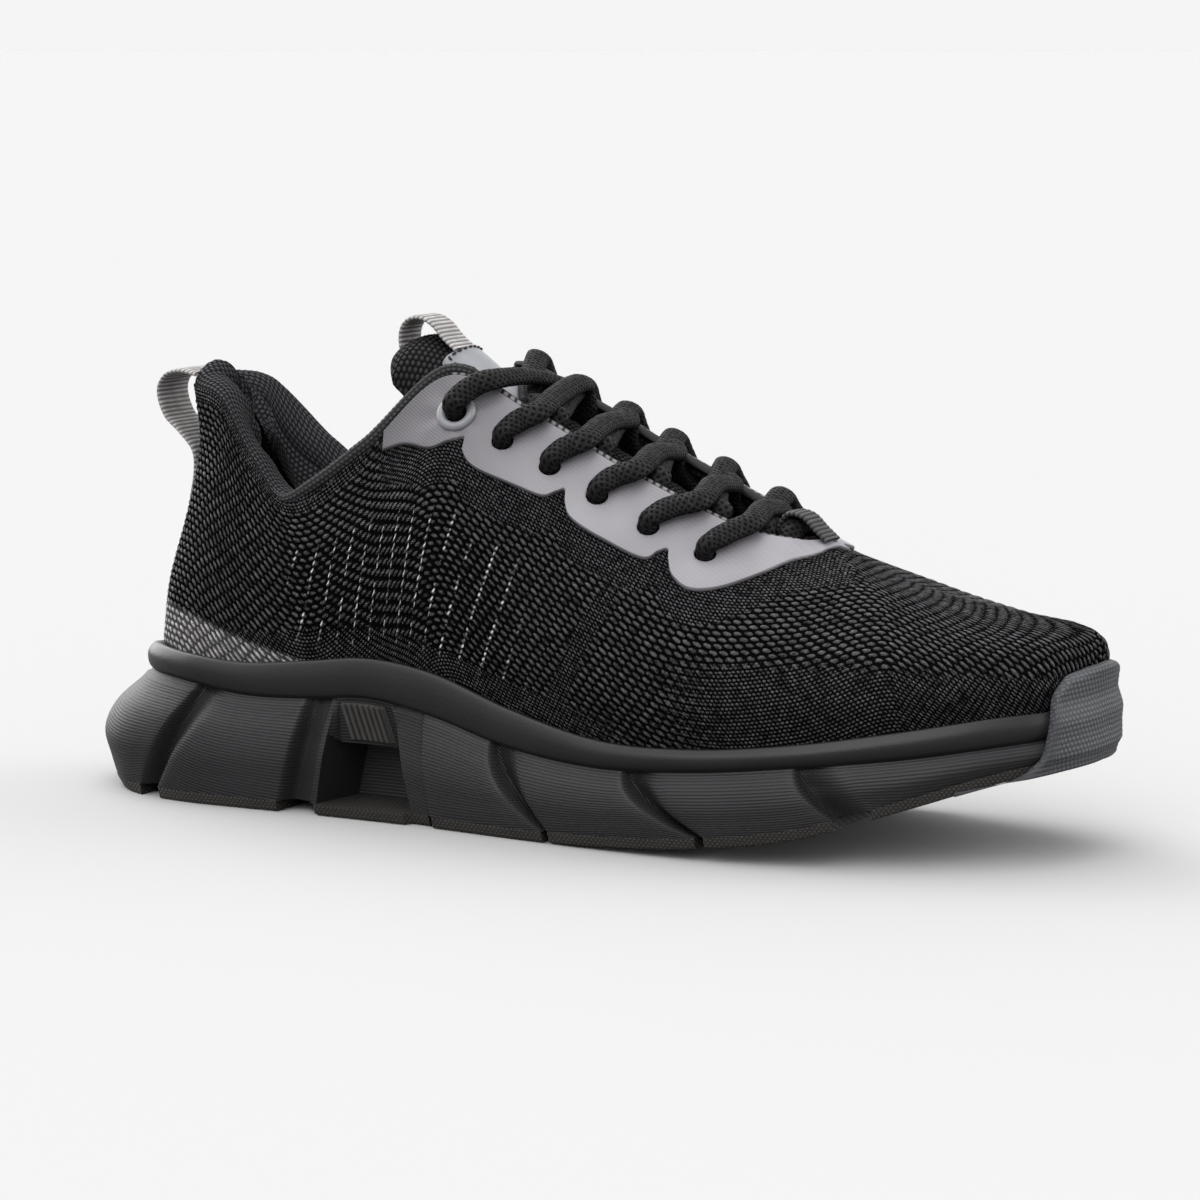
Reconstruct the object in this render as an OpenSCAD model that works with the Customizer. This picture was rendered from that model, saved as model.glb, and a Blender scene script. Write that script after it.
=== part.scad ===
// Running shoe, right foot, in millimetres.
// X runs from heel to toe, Y from the outer to the inner side, Z up from the ground.

/* [Upper] */
// Thickness of the knit upper
knit_t = 1.5; // [1:0.1:2]
// Thickness of the eyestay film that carries the lace holes
eyestay_t = 0.8; // [0.5:0.1:1]
// Thickness of the foam in the collar
collar_foam_t = 5; // [3:0.5:6]
// Thickness of the inner linings
lining_t = 0.8; // [0.6:0.1:1]
// Diameter of the punched lace holes
hole_d = 6; // [5.8:0.1:6.4]

/* [Sole] */
// Thickness of the rubber pads under the foam
pad_t = 3; // [2:0.5:4]
// Depth of the slanted grooves between the foam pods
groove_d = 5; // [2:0.5:6]
// Depth of the hollow in the arch, from each side
hollow_d = 17; // [8:1:18]
// Thickness of the toe bumper
bumper_t = 2.4; // [1.5:0.1:2.6]
// Thickness of the removable insole
insole_t = 4; // [3:0.5:5]

/* [Webbing] */
// Width of the heel pull loop
heel_loop_w = 16; // [12:1:18]
// Width of the tongue pull loop
tongue_loop_w = 12; // [8:1:14]
// Thickness of both webbing loops
webbing_t = 1.6; // [1.2:0.1:2]

/* [Lace] */
// Diameter of the lace
lace_d = 4.2; // [3.5:0.1:4.4]

/* [Hidden] */

// Middle of the shoe in plan, and the clear gap between layers
mid_x = 151.211;
mid_y = -0.184;
gap = 0.2;
film_gap = 0.3;
bumper_gap = 0.6;

// Surface of the upper: rows rim, waist, shoulder, crown and edge, from heel to toe.
// Outer (lateral) side, stations 0 to 14.
OUTER_SIDE = [
    [[19.5, 0, 40], [24, 0, 58], [30.8, 0, 80], [33.6, 0, 98], [28, 0, 114.5]],
    [[27, -19, 42], [29, -18.5, 60], [34, -16.5, 80], [36, -13, 98], [32.5, -9.5, 114.3]],
    [[43, -30, 41.5], [44, -29.5, 60], [46, -26.5, 80], [47, -21, 98], [45, -16, 111]],
    [[63, -33, 40.5], [63, -33.5, 54], [62, -32, 68], [61, -28, 83], [59, -22.5, 95.5]],
    [[84, -34, 42.5], [83, -34.5, 53], [82, -34, 64], [80, -32.5, 76], [75, -28.8, 85.8]],
    [[104, -35, 44.5], [103, -36.5, 57], [102, -36, 70], [101, -33.5, 84], [98, -28, 100]],
    [[126, -37.5, 42], [125, -39, 58], [123.5, -37.5, 76], [121.5, -32, 98], [119.5, -18.5, 121]],
    [[152, -41.5, 34.5], [150, -43.5, 51], [149, -41, 70], [147, -32, 92], [145, -16.5, 111]],
    [[180, -45.5, 29], [178, -47.5, 44], [176, -44, 62], [174, -33, 80], [171, -16, 97.8]],
    [[208, -47.5, 29], [206, -49.5, 42], [205, -45, 57], [204, -31, 72], [203, -13, 83.5]],
    [[236, -45.5, 32], [234, -47, 43], [231, -41, 56], [226, -25, 70], [218, -6, 79.5]],
    [[262, -36, 36], [260, -37.5, 45], [256, -32, 56], [246, -16, 67.4], [225, 4, 77.6]],
    [[280, -26, 39], [279, -27, 47], [276, -21.5, 56], [268, -9, 61.6], [250, 4.8, 68]],
    [[293, -12.5, 40.2], [293.5, -13, 47.5], [292.5, -10.5, 55], [287, -3.5, 59.4], [272, 6, 63.6]],
    [[297.5, 6.5, 41], [298.5, 6.5, 47.5], [300, 6.5, 54], [297.5, 6.5, 58.6], [291, 7, 61]]
];
// Inner (medial) side, stations 13 down to 1.
INNER_SIDE = [
    [[293.5, 25, 40.2], [294, 26, 47.5], [293, 22.5, 55], [288, 15, 59.2], [272, 6, 63.6]],
    [[282, 34.5, 39], [281, 35.5, 48], [278, 30, 57], [269.5, 19, 61.2], [250, 4.8, 68]],
    [[262, 42, 36], [260, 43.5, 46], [256, 38.5, 58], [246, 24, 66.6], [225, 4, 77.6]],
    [[236, 47, 32], [234, 48.5, 43], [231, 44, 57], [226, 31, 68.6], [218, 13.5, 79.2]],
    [[208, 46.5, 29], [206, 48.5, 43], [205, 45.5, 58], [204, 35, 73], [203, 19, 84.5]],
    [[180, 42, 30], [178, 44, 46], [176, 42, 64], [174, 34, 82], [171, 21, 98.5]],
    [[152, 36, 36], [150, 39, 53], [149, 39, 72], [147, 33, 92], [145, 20.5, 111.5]],
    [[126, 31, 43], [125, 34.5, 59], [123.5, 35.5, 77], [121.5, 32, 98], [119.5, 20, 121]],
    [[104, 30, 45.5], [103, 32.5, 58], [102, 33.5, 72], [101, 32, 86], [99, 27, 100.5]],
    [[84, 31.5, 43.5], [83, 32.5, 55], [82, 32.5, 67], [80, 31, 79], [75, 28, 87]],
    [[63, 32, 41], [63, 32.5, 55], [62, 31.5, 70], [61, 28, 85], [60, 22, 97.5]],
    [[43, 29.5, 41.5], [44, 29, 60], [46, 26.5, 80], [47, 21, 98], [45, 16, 113]],
    [[27, 19, 42], [29, 18.5, 60], [34, 16.5, 80], [36, 13, 98], [32.5, 9.5, 114.3]]
];
NET = concat(OUTER_SIDE, INNER_SIDE);
stations = len(NET);
throat_station = 11;
edge_row = 4;

// Sole at stations 0 to 14: cup floor height, foam band bottom height, ground height,
// then how far the band bottom, the widest pod and the pod bottom stand out from the rim.
SOLE = [
    [30, 35, 0, 3.5, 19.5, 14.5],
    [30, 35.5, 0, 4, 15, 11],
    [30, 34.8, 0, 3.2, 8, 5.5],
    [30.5, 32.5, 0, 2.8, 5.5, 3.5],
    [31.5, 33, 0, 2.8, 5, 3],
    [32, 34.4, 0, 2.8, 5, 3],
    [30, 31.3, 0, 2.8, 4.5, 2.5],
    [25.5, 25.2, 0, 2.8, 4.5, 2.5],
    [21, 22.7, 0.8, 3, 4.5, 2.5],
    [19, 24, 2.9, 3, 4.5, 2.5],
    [20, 27, 7.2, 3, 4, 2],
    [23, 29.8, 15.4, 3, 3.8, 1.8],
    [26, 32.4, 21.3, 2.6, 2.8, 1],
    [28, 34, 24.4, 1.8, 2, 0.4],
    [29, 34.5, 25.4, 1.2, 2, 0.4]
];
// Foam columns: x at the band, x at the ground, groove depth, 1 inside the arch hollow.
POD_EDGES = [
    [19.6, 19.6, 0, 0], [20.4, 20.4, 0, 0], [22, 21.8, 0, 0], [24.5, 23.8, 0, 0], [27.5, 25.8, 0, 0],
    [32, 28, 0, 0], [38, 30, 0, 0], [48, 33, 0, 0],
    [49.5, 34, 1, 0], [58.7, 38, 0, 0], [84, 75.5, 0, 0], [85.5, 77, 1, 0], [91.5, 84.5, 0.6, 0],
    [93, 86, 0.5, 0], [94.5, 88.5, 0, 1], [111.5, 116, 0, 1], [113, 118, 0.5, 0],
    [122, 124, 0.4, 0], [123.5, 126, 0, 0], [145, 163, 0, 0], [146.5, 163.8, 1, 0],
    [156.7, 164.8, 0, 0], [187.4, 210, 0, 0], [189, 210.6, 1, 0], [199.3, 212, 0, 0],
    [236, 245, 0, 0], [237.5, 246, 0.8, 0], [247, 254, 0, 0], [262, 264, 0, 0],
    [272, 273, 0, 0], [280, 281, 0, 0], [286.5, 287, 0, 0], [292, 292, 0, 0],
    [295, 295, 0, 0], [296.6, 296.6, 0, 0], [297.4, 297.4, 0, 0]
];
// Station number against x along the rim
STATION_OF_X = [
    [19.5, 0], [27, 1], [43, 2], [63, 3], [84, 4], [104, 5], [126, 6], [152, 7], [180, 8],
    [208, 9], [236, 10], [262, 11], [281, 12], [293, 13], [297.5, 14]
];

// Lower edge of the eyestay: place along the throat, then station and height on the upper.
EYESTAY_EDGE = [
    [5.25, 5.25, 0.93], [5.5, 5.5, 0.88], [5.9, 5.9, 0.8], [6.16, 6.16, 0.81],
    [6.32, 6.34, 0.83], [6.4, 6.36, 0.79], [6.52, 6.52, 0.76], [6.87, 6.87, 0.76],
    [7.27, 7.27, 0.77], [7.43, 7.43, 0.81], [7.5, 7.51, 0.83], [7.57, 7.55, 0.79],
    [7.65, 7.65, 0.76], [8.01, 8.01, 0.75], [8.38, 8.38, 0.74], [8.49, 8.49, 0.78],
    [8.55, 8.56, 0.8], [8.61, 8.6, 0.76], [8.68, 8.68, 0.71], [8.87, 8.87, 0.68],
    [9.16, 9.16, 0.71], [9.56, 9.56, 0.79], [10, 10, 0.885], [10.5, 10.55, 0.94],
    [10.8, 10.9, 0.975], [11, 11.15, 1]
];
// Lace holes from the lowest pair to the ring pair: station and height on the upper
HOLES = [[8.88, 0.83], [8.35, 0.85], [7.84, 0.87], [7.3, 0.87], [6.75, 0.87], [6.2, 0.89]];

// Tongue from its sewn base to its top: middle line, half width, sideways drop, thickness
TONGUE = [
    [[223, 4, 70], 11, 1, 1.6], [[205, 3.5, 77.5], 16, 5, 2.2], [[185, 3.5, 87], 19, 9, 3],
    [[165, 3, 97.5], 20, 11, 4], [[145, 2.5, 107.8], 20, 12, 5], [[128, 1.8, 116.4], 17.4, 12, 6.5],
    [[116, 1.8, 123.6], 17.5, 12, 7.5], [[106.5, 1, 128.4], 18.5, 11.5, 8.5],
    [[98.5, 0.5, 129.6], 17, 10, 8]
];
TONGUE_PIVOT = [224, 4, 72];

// ---- numbers ----
function mix(a, b, f) = a + (b - a) * f;
function unit(v) = v / norm(v);
function spline(a, b, c, d, f) =
    0.5 * (2 * b + (c - a) * f + (2 * a - 5 * b + 4 * c - d) * f * f + (3 * b - a - 3 * c + d) * f * f * f);
// Smooth value at place p along a list, with straight ends
function along(list, p) =
    let (n = len(list), i = max(0, min(n - 2, floor(p))), b = list[i], c = list[i + 1])
    spline(i > 0 ? list[i - 1] : 2 * b - c, b, c, i < n - 2 ? list[i + 2] : 2 * c - b, p - i);

// ---- surface of the upper ----
function wrap(u) = (u + stations) % stations;
function on_ridge(u) = u >= throat_station && u <= stations - throat_station;
function net_row(r, u) =
    let (
        i = floor(u), p = [for (k = [-1:2]) NET[wrap(i + k)][r]],
        first = r == edge_row && i == throat_station ? 2 * p[1] - p[2] : p[0]
    )
    spline(first, p[1], p[2], p[3], u - i);
function raw_skin(u, t) = along([for (r = [0:edge_row]) net_row(r, wrap(u))], t * edge_row);
function skin(u, t) = t > 0.999 && on_ridge(u) ? raw_skin(min(u, stations - u), 1) : raw_skin(u, t);
function raw_normal(u, t) =
    let (du = 0.02, low = min(t, 0.98))
    unit(cross(raw_skin(u + du, low) - raw_skin(u - du, low),
               raw_skin(u, low + 0.02) - raw_skin(u, low)));
function normal(u, t) =
    t > 0.999 && on_ridge(u)
        ? let (v = min(u, stations - u)) unit(raw_normal(v, 1) + raw_normal(stations - v, 1))
        : raw_normal(u, t);
// Point at a distance out from the surface of the upper
function layer(u, t, out) = skin(u, t) + normal(u, t) * out;

// ---- outline of the sole ----
function station_of(x) = lookup(x, STATION_OF_X);
function folded(u) = min(wrap(u), stations - wrap(u));
function sole_at(u) = along(SOLE, folded(u));
function plan_normal(u) =
    let (d = net_row(0, wrap(u + 0.02)) - net_row(0, wrap(u - 0.02)))
    unit([d.y, -d.x, 0]);
function sole_point(u, out, z) =
    let (p = net_row(0, wrap(u)) + plan_normal(u) * out)
    [p.x, p.y, z];
function rim_z(u) = net_row(0, wrap(u)).z;

// ---- meshes ----
// A quad as two triangles, cut along its shorter diagonal
function quad(pts, a, b, c, d) =
    norm(pts[a] - pts[c]) < norm(pts[b] - pts[d]) ? [[a, b, c], [a, c, d]] : [[a, b, d], [b, c, d]];
// A row of equal sections joined into one solid. Between columns seam[0] and seam[1] the
// last side of the section is left out, because the solid meets itself there.
module sweep(sections, closed = false, seam = [0, 0]) {
    n = len(sections);
    m = len(sections[0]);
    pts = [for (s = sections, p = s) p];
    last = closed ? n - 1 : n - 2;
    sides = [
        for (j = [0:last], k = [0:m - 1])
            if (!(k == m - 1 && j >= seam[0] && j < seam[1]))
                let (a = j * m, b = (j + 1) % n * m, l = (k + 1) % m)
                each quad(pts, a + k, b + k, b + l, a + l)
    ];
    ends = closed ? [] : [
        for (k = [0:m / 2 - 2])
            each concat(
                quad(pts, k, k + 1, m - 2 - k, m - 1 - k),
                quad(pts, n * m - 1 - k, n * m - 2 - k, (n - 1) * m + k + 1, (n - 1) * m + k))
    ];
    polyhedron(pts, concat(sides, ends));
}
// Round tube along a route, its sections turned as little as possible from one to the next
module tube(route, d, sides = 8) {
    n = len(route);
    ways = [for (i = [0:n - 1]) unit(route[min(i + 1, n - 1)] - route[max(i - 1, 0)])];
    first = unit(cross(ways[0], [0.31, 0.9, 0.27]));
    across = [
        for (i = 0, a = first; i < n; i = i + 1, a = i < n ? unit(a - ways[i] * (a * ways[i])) : a) a
    ];
    sweep([
        for (i = [0:n - 1])
            let (b = cross(ways[i], across[i]))
            [for (k = [0:sides - 1])
                route[i] + (across[i] * cos(360 * k / sides) + b * sin(360 * k / sides)) * d / 2]
    ]);
}
// Two rows of points, outer and inner, as one section
function section(outer, inner) = concat([for (i = [len(outer) - 1:-1:0]) outer[i]], inner);
module in_frame() translate([-mid_x, -mid_y, 0]) children();
// Children drawn on the surface of the upper, with Z along its normal
module on_skin(u, t) {
    n = normal(u, t);
    translate(skin(u, t)) rotate([0, acos(n.z), atan2(n.y, n.x)]) children();
}

// ---- layers of the upper ----
// A strip of the upper between stations and heights, from one depth to another
module strip(u_from, u_to, columns, t_from, t_to, rows, out_a, out_b) {
    sweep([
        for (j = [0:columns])
            let (u = mix(u_from, u_to, j / columns))
            section(
                [for (i = [0:rows]) layer(wrap(u), mix(t_from, t_to, i / rows), out_a)],
                [for (i = [0:rows]) layer(wrap(u), mix(t_from, t_to, i / rows), out_b)])
    ]);
}
// Point on the eyestay: w along the throat, v from the lower edge (0) to the throat (1)
function eyestay_place(w, v) =
    let (
        f = w > throat_station ? stations - w : w,
        e = [for (i = [1, 2]) lookup(f, [for (r = EYESTAY_EDGE) [r[0], r[i]]])],
        u = mix(e[0], f, v), t = mix(e[1], 1, v)
    )
    [w > throat_station ? stations - u : u, t];
EYESTAY_COLUMNS = concat(
    [for (r = EYESTAY_EDGE) r[0]],
    [for (i = [len(EYESTAY_EDGE) - 2:-1:0]) stations - EYESTAY_EDGE[i][0]]);
module eyestay_layer(columns, v_from, v_to, out_a, out_b) {
    sweep([
        for (w = columns)
            let (p = [for (i = [0:3]) eyestay_place(w, mix(v_from, v_to, i / 3))])
            section([for (q = p) layer(q[0], q[1], out_a)], [for (q = p) layer(q[0], q[1], out_b)])
    ]);
}
module lace_holes() {
    for (h = HOLES, side = [0, 1])
        on_skin(side == 0 ? h[0] : stations - h[0], h[1])
            cylinder(h = 16, d = hole_d, center = true, $fn = 24);
}

// ---- sole ----
function flip(u, side) = side == 0 ? u : stations - u;
// Foam column from the cup floor down to the pads, as [place, distance out, height] rows
function wall_rows(c, hollow) =
    let (
        top = station_of(c[0]), low = station_of(c[1]), s = sole_at(top), g = sole_at(low),
        band = s[3], pod = mix(s[4], g[4], 0.5), foot = g[5],
        zb = s[1], zg = max(0, g[2]), d = c[2] * groove_d
    )
    concat(
        [[0, band - 0.9 - d, zb - 1]],
        hollow
            ? [[0.33, -2, 20], [0.4, -hollow_d, 18.5], [0.8, -hollow_d, 9], [1, -hollow_d, zg + pad_t]]
            : [
                [0.33, mix(band, pod, 0.68) - d, mix(zb, zg, 0.33)], [0.58, pod - d, mix(zb, zg, 0.58)],
                [0.85, mix(pod, foot, 0.35) - d, mix(zb, zg, 0.85)],
                [1, mix(pod, foot, 0.6) - d, zg + pad_t], [1, foot - d, zg]
            ]);
function wall_point(c, side, row) =
    sole_point(flip(mix(station_of(c[0]), station_of(c[1]), row[0]), side), row[1], row[2]);
function foam_column(c, side) =
    let (u = flip(station_of(c[0]), side), s = sole_at(u), zr = rim_z(u), rows = wall_rows(c, c[3] == 1))
    concat(
        [
            sole_point(u, -1, s[0]), sole_point(u, 0.4, zr), sole_point(u, 0.4 + 0.5 * s[3], zr - 0.3),
            sole_point(u, s[3] + 0.4, mix(zr, s[1], 0.45)), sole_point(u, s[3], s[1])
        ],
        [for (i = [0:4]) wall_point(c, side, rows[i])]);
function pad_column(c, side) =
    let (rows = wall_rows(c, false))
    [wall_point(c, side, rows[4]), wall_point(c, side, rows[5])];
// Columns between two of the pod edges, with more added where they are far apart
function columns(from, to) = concat(
    [
        for (i = [from:to - 1])
            let (a = POD_EDGES[i], b = POD_EDGES[i + 1], n = ceil(max(b[0] - a[0], b[1] - a[1]) / 10))
            for (k = [0:n - 1]) mix(a, b, k / n)
    ],
    [POD_EDGES[to]]);
module outsole_pad(from, to) {
    color("#2b2622") in_frame() sweep([
        for (c = columns(from, to))
            section([for (i = [1, 0]) pad_column(c, 0)[i]], [for (i = [1, 0]) pad_column(c, 1)[i]])
    ]);
}
// Flat layer inside the cup, following its floor
module floor_layer(inset, z_from, z_to) {
    sweep([
        for (j = [0:36])
            let (k = mix(0.06, 13.94, j / 36), f = sole_at(k)[0])
            section(
                [for (z = [z_from, z_to]) sole_point(k, -inset, f + z)],
                [for (z = [z_from, z_to]) sole_point(stations - k, -inset, f + z)])
    ]);
}
module midsole() {
    color("#1c1c1f") in_frame() sweep([
        for (c = columns(0, len(POD_EDGES) - 1)) concat(
            foam_column(c, 0), [for (i = [9:-1:0]) foam_column(c, 1)[i]])
    ]);
}
// Ribbed panel at the top of the arch hollow
module arch_insert(side) {
    ribs = 24;
    color("#3a3a3c") in_frame() sweep([
        for (j = [0:ribs])
            let (
                x = mix(96.5, 110, j / ribs), u = flip(station_of(x), side), s = sole_at(u),
                out = j % 4 < 2 ? 2 : 1.1, p = [s[3] - 0.9, s[1] - 1], q = [-2, 20],
                ends = [mix(p, q, 0.12), mix(p, q, 0.88)],
                face = [for (e = ends) sole_point(u, e.x + out, e.y)],
                back = [for (e = ends) sole_point(u, e.x + 0.4, e.y)]
            )
            side == 0 ? concat(face, [back[1], back[0]]) : concat([back[0], back[1]], [face[1], face[0]])
    ]);
}
module arch_insert_outer() arch_insert(0);
module arch_insert_inner() arch_insert(1);
// Distance out from the rim at a height, on the outside of the toe
function toe_out(u, z) =
    let (s = sole_at(u), zr = rim_z(u), g = s[2])
    lookup(z, concat(
        [[g, s[5] + 0.1], [g + pad_t, mix(s[4], s[5], 0.6) + 0.2], [mix(s[1], g, 0.58), s[4] + 0.2],
         [s[1], s[3] + 0.3],
            [mix(zr, s[1], 0.45), s[3] + 0.6], [zr - 0.3, 0.5 * s[3] + 0.7]],
        [
            for (t = [0.08, 0.25, 0.45])
                let (p = skin(u, t))
                [p.z, (p - net_row(0, wrap(u))) * plan_normal(u) + 0.3]
        ]));
// Top of the bumper against the station
BUMPER_TOP = [
    [11.6, 20.4], [12.3, 22.5], [12.55, 24.5], [12.8, 29], [12.88, 37], [12.96, 44.4],
    [13.2, 49.2], [13.6, 50.7], [14, 51.2]
];
module toe_bumper() {
    rows = 8;
    color("#3c3c3e") in_frame() sweep([
        for (j = [-14:14])
            let (
                k = mix(14, 11.6, pow(abs(j) / 14, 1.2)), u = j <= 0 ? k : stations - k,
                top = lookup(k, BUMPER_TOP), low = sole_at(u)[2],
                thick = bumper_t * lookup(k, [[11.6, 0.3], [12.6, 1]])
            )
            section(
                [for (i = [0:rows]) let (z = mix(low, top, i / rows))
                    sole_point(u, toe_out(u, z) + bumper_gap + thick * (i == rows ? 0.4 : 1), z)],
                [
                    for (i = [0:rows])
                        let (z = mix(low, top, i / rows))
                        sole_point(u, toe_out(u, z) + bumper_gap, z)
                ])
    ]);
}
module strobel_board() color("#d8d0c0") in_frame() floor_layer(1.6 + knit_t, 0.1, 1.6);
module insole() color("#26262a") in_frame() floor_layer(1.8 + knit_t, 1.8, 1.8 + insole_t);
// Each pad covers one pod, between two entries of POD_EDGES
module outsole_heel() outsole_pad(0, 7);
module outsole_rear() outsole_pad(9, 10);
module outsole_arch() outsole_pad(12, 17);
module outsole_forefoot_rear() outsole_pad(18, 19);
module outsole_forefoot_middle() outsole_pad(21, 22);
module outsole_forefoot_front() outsole_pad(24, 25);
module outsole_toe() outsole_pad(27, 35);

// ---- upper ----
module knit_upper() {
    rows = 10;
    per_station = 3;
    color("#17171a") in_frame() difference() {
        sweep(
            [
                for (j = [0:stations * per_station - 1])
                    let (u = j / per_station, f = sole_at(u)[0] + 0.2)
                    section(
                        concat([sole_point(u, -1.45, f)], [for (i = [0:rows]) layer(u, i / rows, 0)]),
                        concat(
                            [sole_point(u, -1.45 - knit_t, f)],
                            [for (i = [0:rows]) layer(u, i / rows, -knit_t)]))
            ],
            closed = true,
            seam = [throat_station * per_station, (stations - throat_station) * per_station]);
        lace_holes();
    }
}
inner_face = -knit_t - gap;
module heel_counter() color("#b8b0a0") in_frame()
    strip(-4, 4, 24, 0.02, 0.58, 5, inner_face, inner_face - 1.5);
module toe_puff() color("#b8b0a0") in_frame() strip(12, 16, 20, 0.02, 0.5, 4, inner_face, inner_face - 0.7);
// Depth of the back of the collar foam below the surface of the upper
foam_low = 0.62;
foam_high = 0.97;
foam_end = 4.7;
function foam_depth(u, t) =
    let (
        f = max(0, min(1, (t - foam_low) / (foam_high - foam_low))),
        e = max(0, 1 - pow(folded(u) / foam_end, 4))
    )
    collar_foam_t * pow(max(0.0001, sin(180 * f)), 0.6) * e;
module collar_foam() {
    rows = 6;
    color("#6b6a66") in_frame() sweep([
        for (j = [0:26])
            let (
                u = wrap(mix(0.3 - foam_end, foam_end - 0.3, j / 26)),
                t = [for (i = [0:rows]) mix(foam_low, foam_high, i / rows)]
            )
            section(
                [for (h = t) layer(u, h, inner_face)],
                [for (h = t) layer(u, h, inner_face - 0.3 - foam_depth(u, h))])
    ]);
}
module collar_lining() {
    rows = 10;
    color("#2a2a2e") in_frame() sweep([
        for (j = [0:30])
            let (
                u = wrap(mix(-5, 5, j / 30)), t = [for (i = [0:rows]) mix(0.05, 0.99, i / rows)],
                d = [for (h = t) min(inner_face - (h < 0.62 ? 1.8 : 1), inner_face - 1 - foam_depth(u, h))]
            )
            section(
                [for (i = [0:rows]) layer(u, t[i], d[i])],
                [for (i = [0:rows]) layer(u, t[i], d[i] - lining_t)])
    ]);
}
module vamp_lining() {
    rows = 6;
    first = 5;
    n = (stations - 2 * first) * 3;
    color("#2f2f33") in_frame() sweep(
        [
            for (j = [0:n])
                let (
                    u = mix(first, stations - first, j / n),
                    top = on_ridge(u) ? 1 : lookup(folded(u), [[10, 0.72], [10.67, 0.94]])
                )
                section(
                    [for (i = [0:rows]) layer(u, mix(0.05, top, i / rows), inner_face - 1.1)],
                    [for (i = [0:rows]) layer(u, mix(0.05, top, i / rows), inner_face - 1.1 - lining_t)])
        ],
        seam = [(throat_station - first) * 3, (stations - throat_station - first) * 3]);
}
module eyestay() color("#6f6f74") in_frame() difference() {
    eyestay_layer(EYESTAY_COLUMNS, 0, 1, film_gap + eyestay_t, film_gap);
    lace_holes();
}
module eyestay_backing() color("#2a2a2c") in_frame() difference() {
    eyestay_layer(
        [for (w = EYESTAY_COLUMNS) if (folded(w) > 5.8) w],
        0.15, 0.9, inner_face - 0.2, inner_face - 0.8);
    lace_holes();
}
module eyelet_ring(side) {
    color("#8f9296") in_frame() on_skin(flip(HOLES[5][0], side), HOLES[5][1])
        translate([0, 0, film_gap + gap + eyestay_t]) rotate_extrude($fn = 40)
            translate([hole_d / 2 + 0.1, 0]) polygon([
                [0, 0], [2.6, 0], [2.6, 0.5], [2.2, 1.1], [1.5, 1.4], [0.8, 1.3], [0.2, 0.8]
            ]);
}
module eyelet_ring_outer() eyelet_ring(0);
module eyelet_ring_inner() eyelet_ring(1);
module topline_binding() {
    binding_d = 3.4;
    color("#141416") in_frame() for (side = [0, 1]) tube([
        for (j = [0:16])
            let (u = flip(mix(4, 6.1, j / 16), side), e = skin(u, 1), way = unit(e - skin(u, 0.97)))
            e + way * (binding_d / 2 + 1) - normal(u, 1) * 0.6
    ], binding_d);
}
module heel_strip() color("#8d8a88") in_frame() strip(-0.3, 0.3, 6, 0.01, 0.93, 10, gap + 1, gap);
// Flat strap along a path in the XZ plane
module strap(path, width, y) {
    n = len(path);
    side = [
        for (i = [0:n - 1])
            let (d = unit(path[min(i + 1, n - 1)] - path[max(i - 1, 0)]))
            [-d.y, d.x] * webbing_t / 2
    ];
    translate([0, y + width / 2, 0]) rotate([90, 0, 0]) linear_extrude(width)
        polygon(concat([for (i = [0:n - 1]) path[i] + side[i]], [for (i = [n - 1:-1:0]) path[i] - side[i]]));
}
// Smooth path through points, with steps between each pair
function smooth(list, steps) = [for (i = [0:(len(list) - 1) * steps]) along(list, i / steps)];
HEEL_LOOP = [
    [29.2, 82], [30.6, 90], [30, 96], [25.6, 101], [20.8, 105.5], [18.6, 112], [20.6, 116.6],
    [25.4, 118.2], [31, 117.4]
];
TONGUE_LOOP = [
    [114.2, 127], [110.5, 130], [106.8, 134.1], [102.3, 135.7], [97.6, 134.6], [94.9, 130.6],
    [94.4, 125.4], [95.4, 120.4], [99.4, 117.8]
];
THROAT_BAR = [
    [224.5, 79.4], [221.2, 82.2], [217.4, 85.6], [213, 86.1], [210.4, 82.2], [213.2, 79], [218, 79]
];
module heel_loop() color("#9a9694") in_frame() strap(smooth(HEEL_LOOP, 4), heel_loop_w, 0);
module throat_bar() color("#55545a") in_frame() strap(smooth(THROAT_BAR, 4), 10, 4);

// ---- tongue ----
// Point on the tongue: a from the base (0) to the top (1), b from -1 to 1 across,
// down as a share of the thickness there
function tongue_at(a, b, down) =
    let (
        p = a * (len(TONGUE) - 1), middle = [for (s = TONGUE) s[0]],
        size = along([for (s = TONGUE) [s[1], s[2], s[3]]], p),
        d = unit(along(middle, p + 0.05) - along(middle, p - 0.05)), up = unit([d.z, 0, -d.x])
    )
    along(middle, p) + [0, size[0] * b, 0] - up * (size[1] * b * b + down * size[2]);
module tongue_layer(a_from, a_to, width, down_a, down_b, rows = 14, across = 8) {
    sweep([
        for (j = [0:rows])
            let (a = mix(a_from, a_to, j / rows), b = [for (i = [0:across]) width * (2 * i / across - 1)])
            concat(
                [for (s = b) tongue_at(a, s, down_a)],
                [for (i = [across:-1:0]) tongue_at(a, b[i], down_b)])
    ]);
}
module tongue_shell() color("#202024") in_frame() tongue_layer(0, 1, 1, 0, 0.24);
module tongue_foam() color("#77756f") in_frame() tongue_layer(0.3, 0.96, 0.93, 0.27, 0.73);
module tongue_lining() color("#2c2c30") in_frame() tongue_layer(0, 1, 1, 0.76, 1);
module tongue_label() color("#7c8084") in_frame() tongue_layer(0.55, 0.81, 0.62, -0.16, -0.02, rows = 6);
module tongue_loop() color("#a39f9d") in_frame() strap(smooth(TONGUE_LOOP, 4), tongue_loop_w, 0);

// ---- lace ----
// Under the throat edge at a station, then just past the edge and rising out of it
function dive(u) =
    let (e = skin(u, 1), way = unit(e - skin(u, 0.94)), n = normal(u, 0.97))
    [layer(u, 0.97, -5), e + way * 4.8 - n * 1.8];
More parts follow.
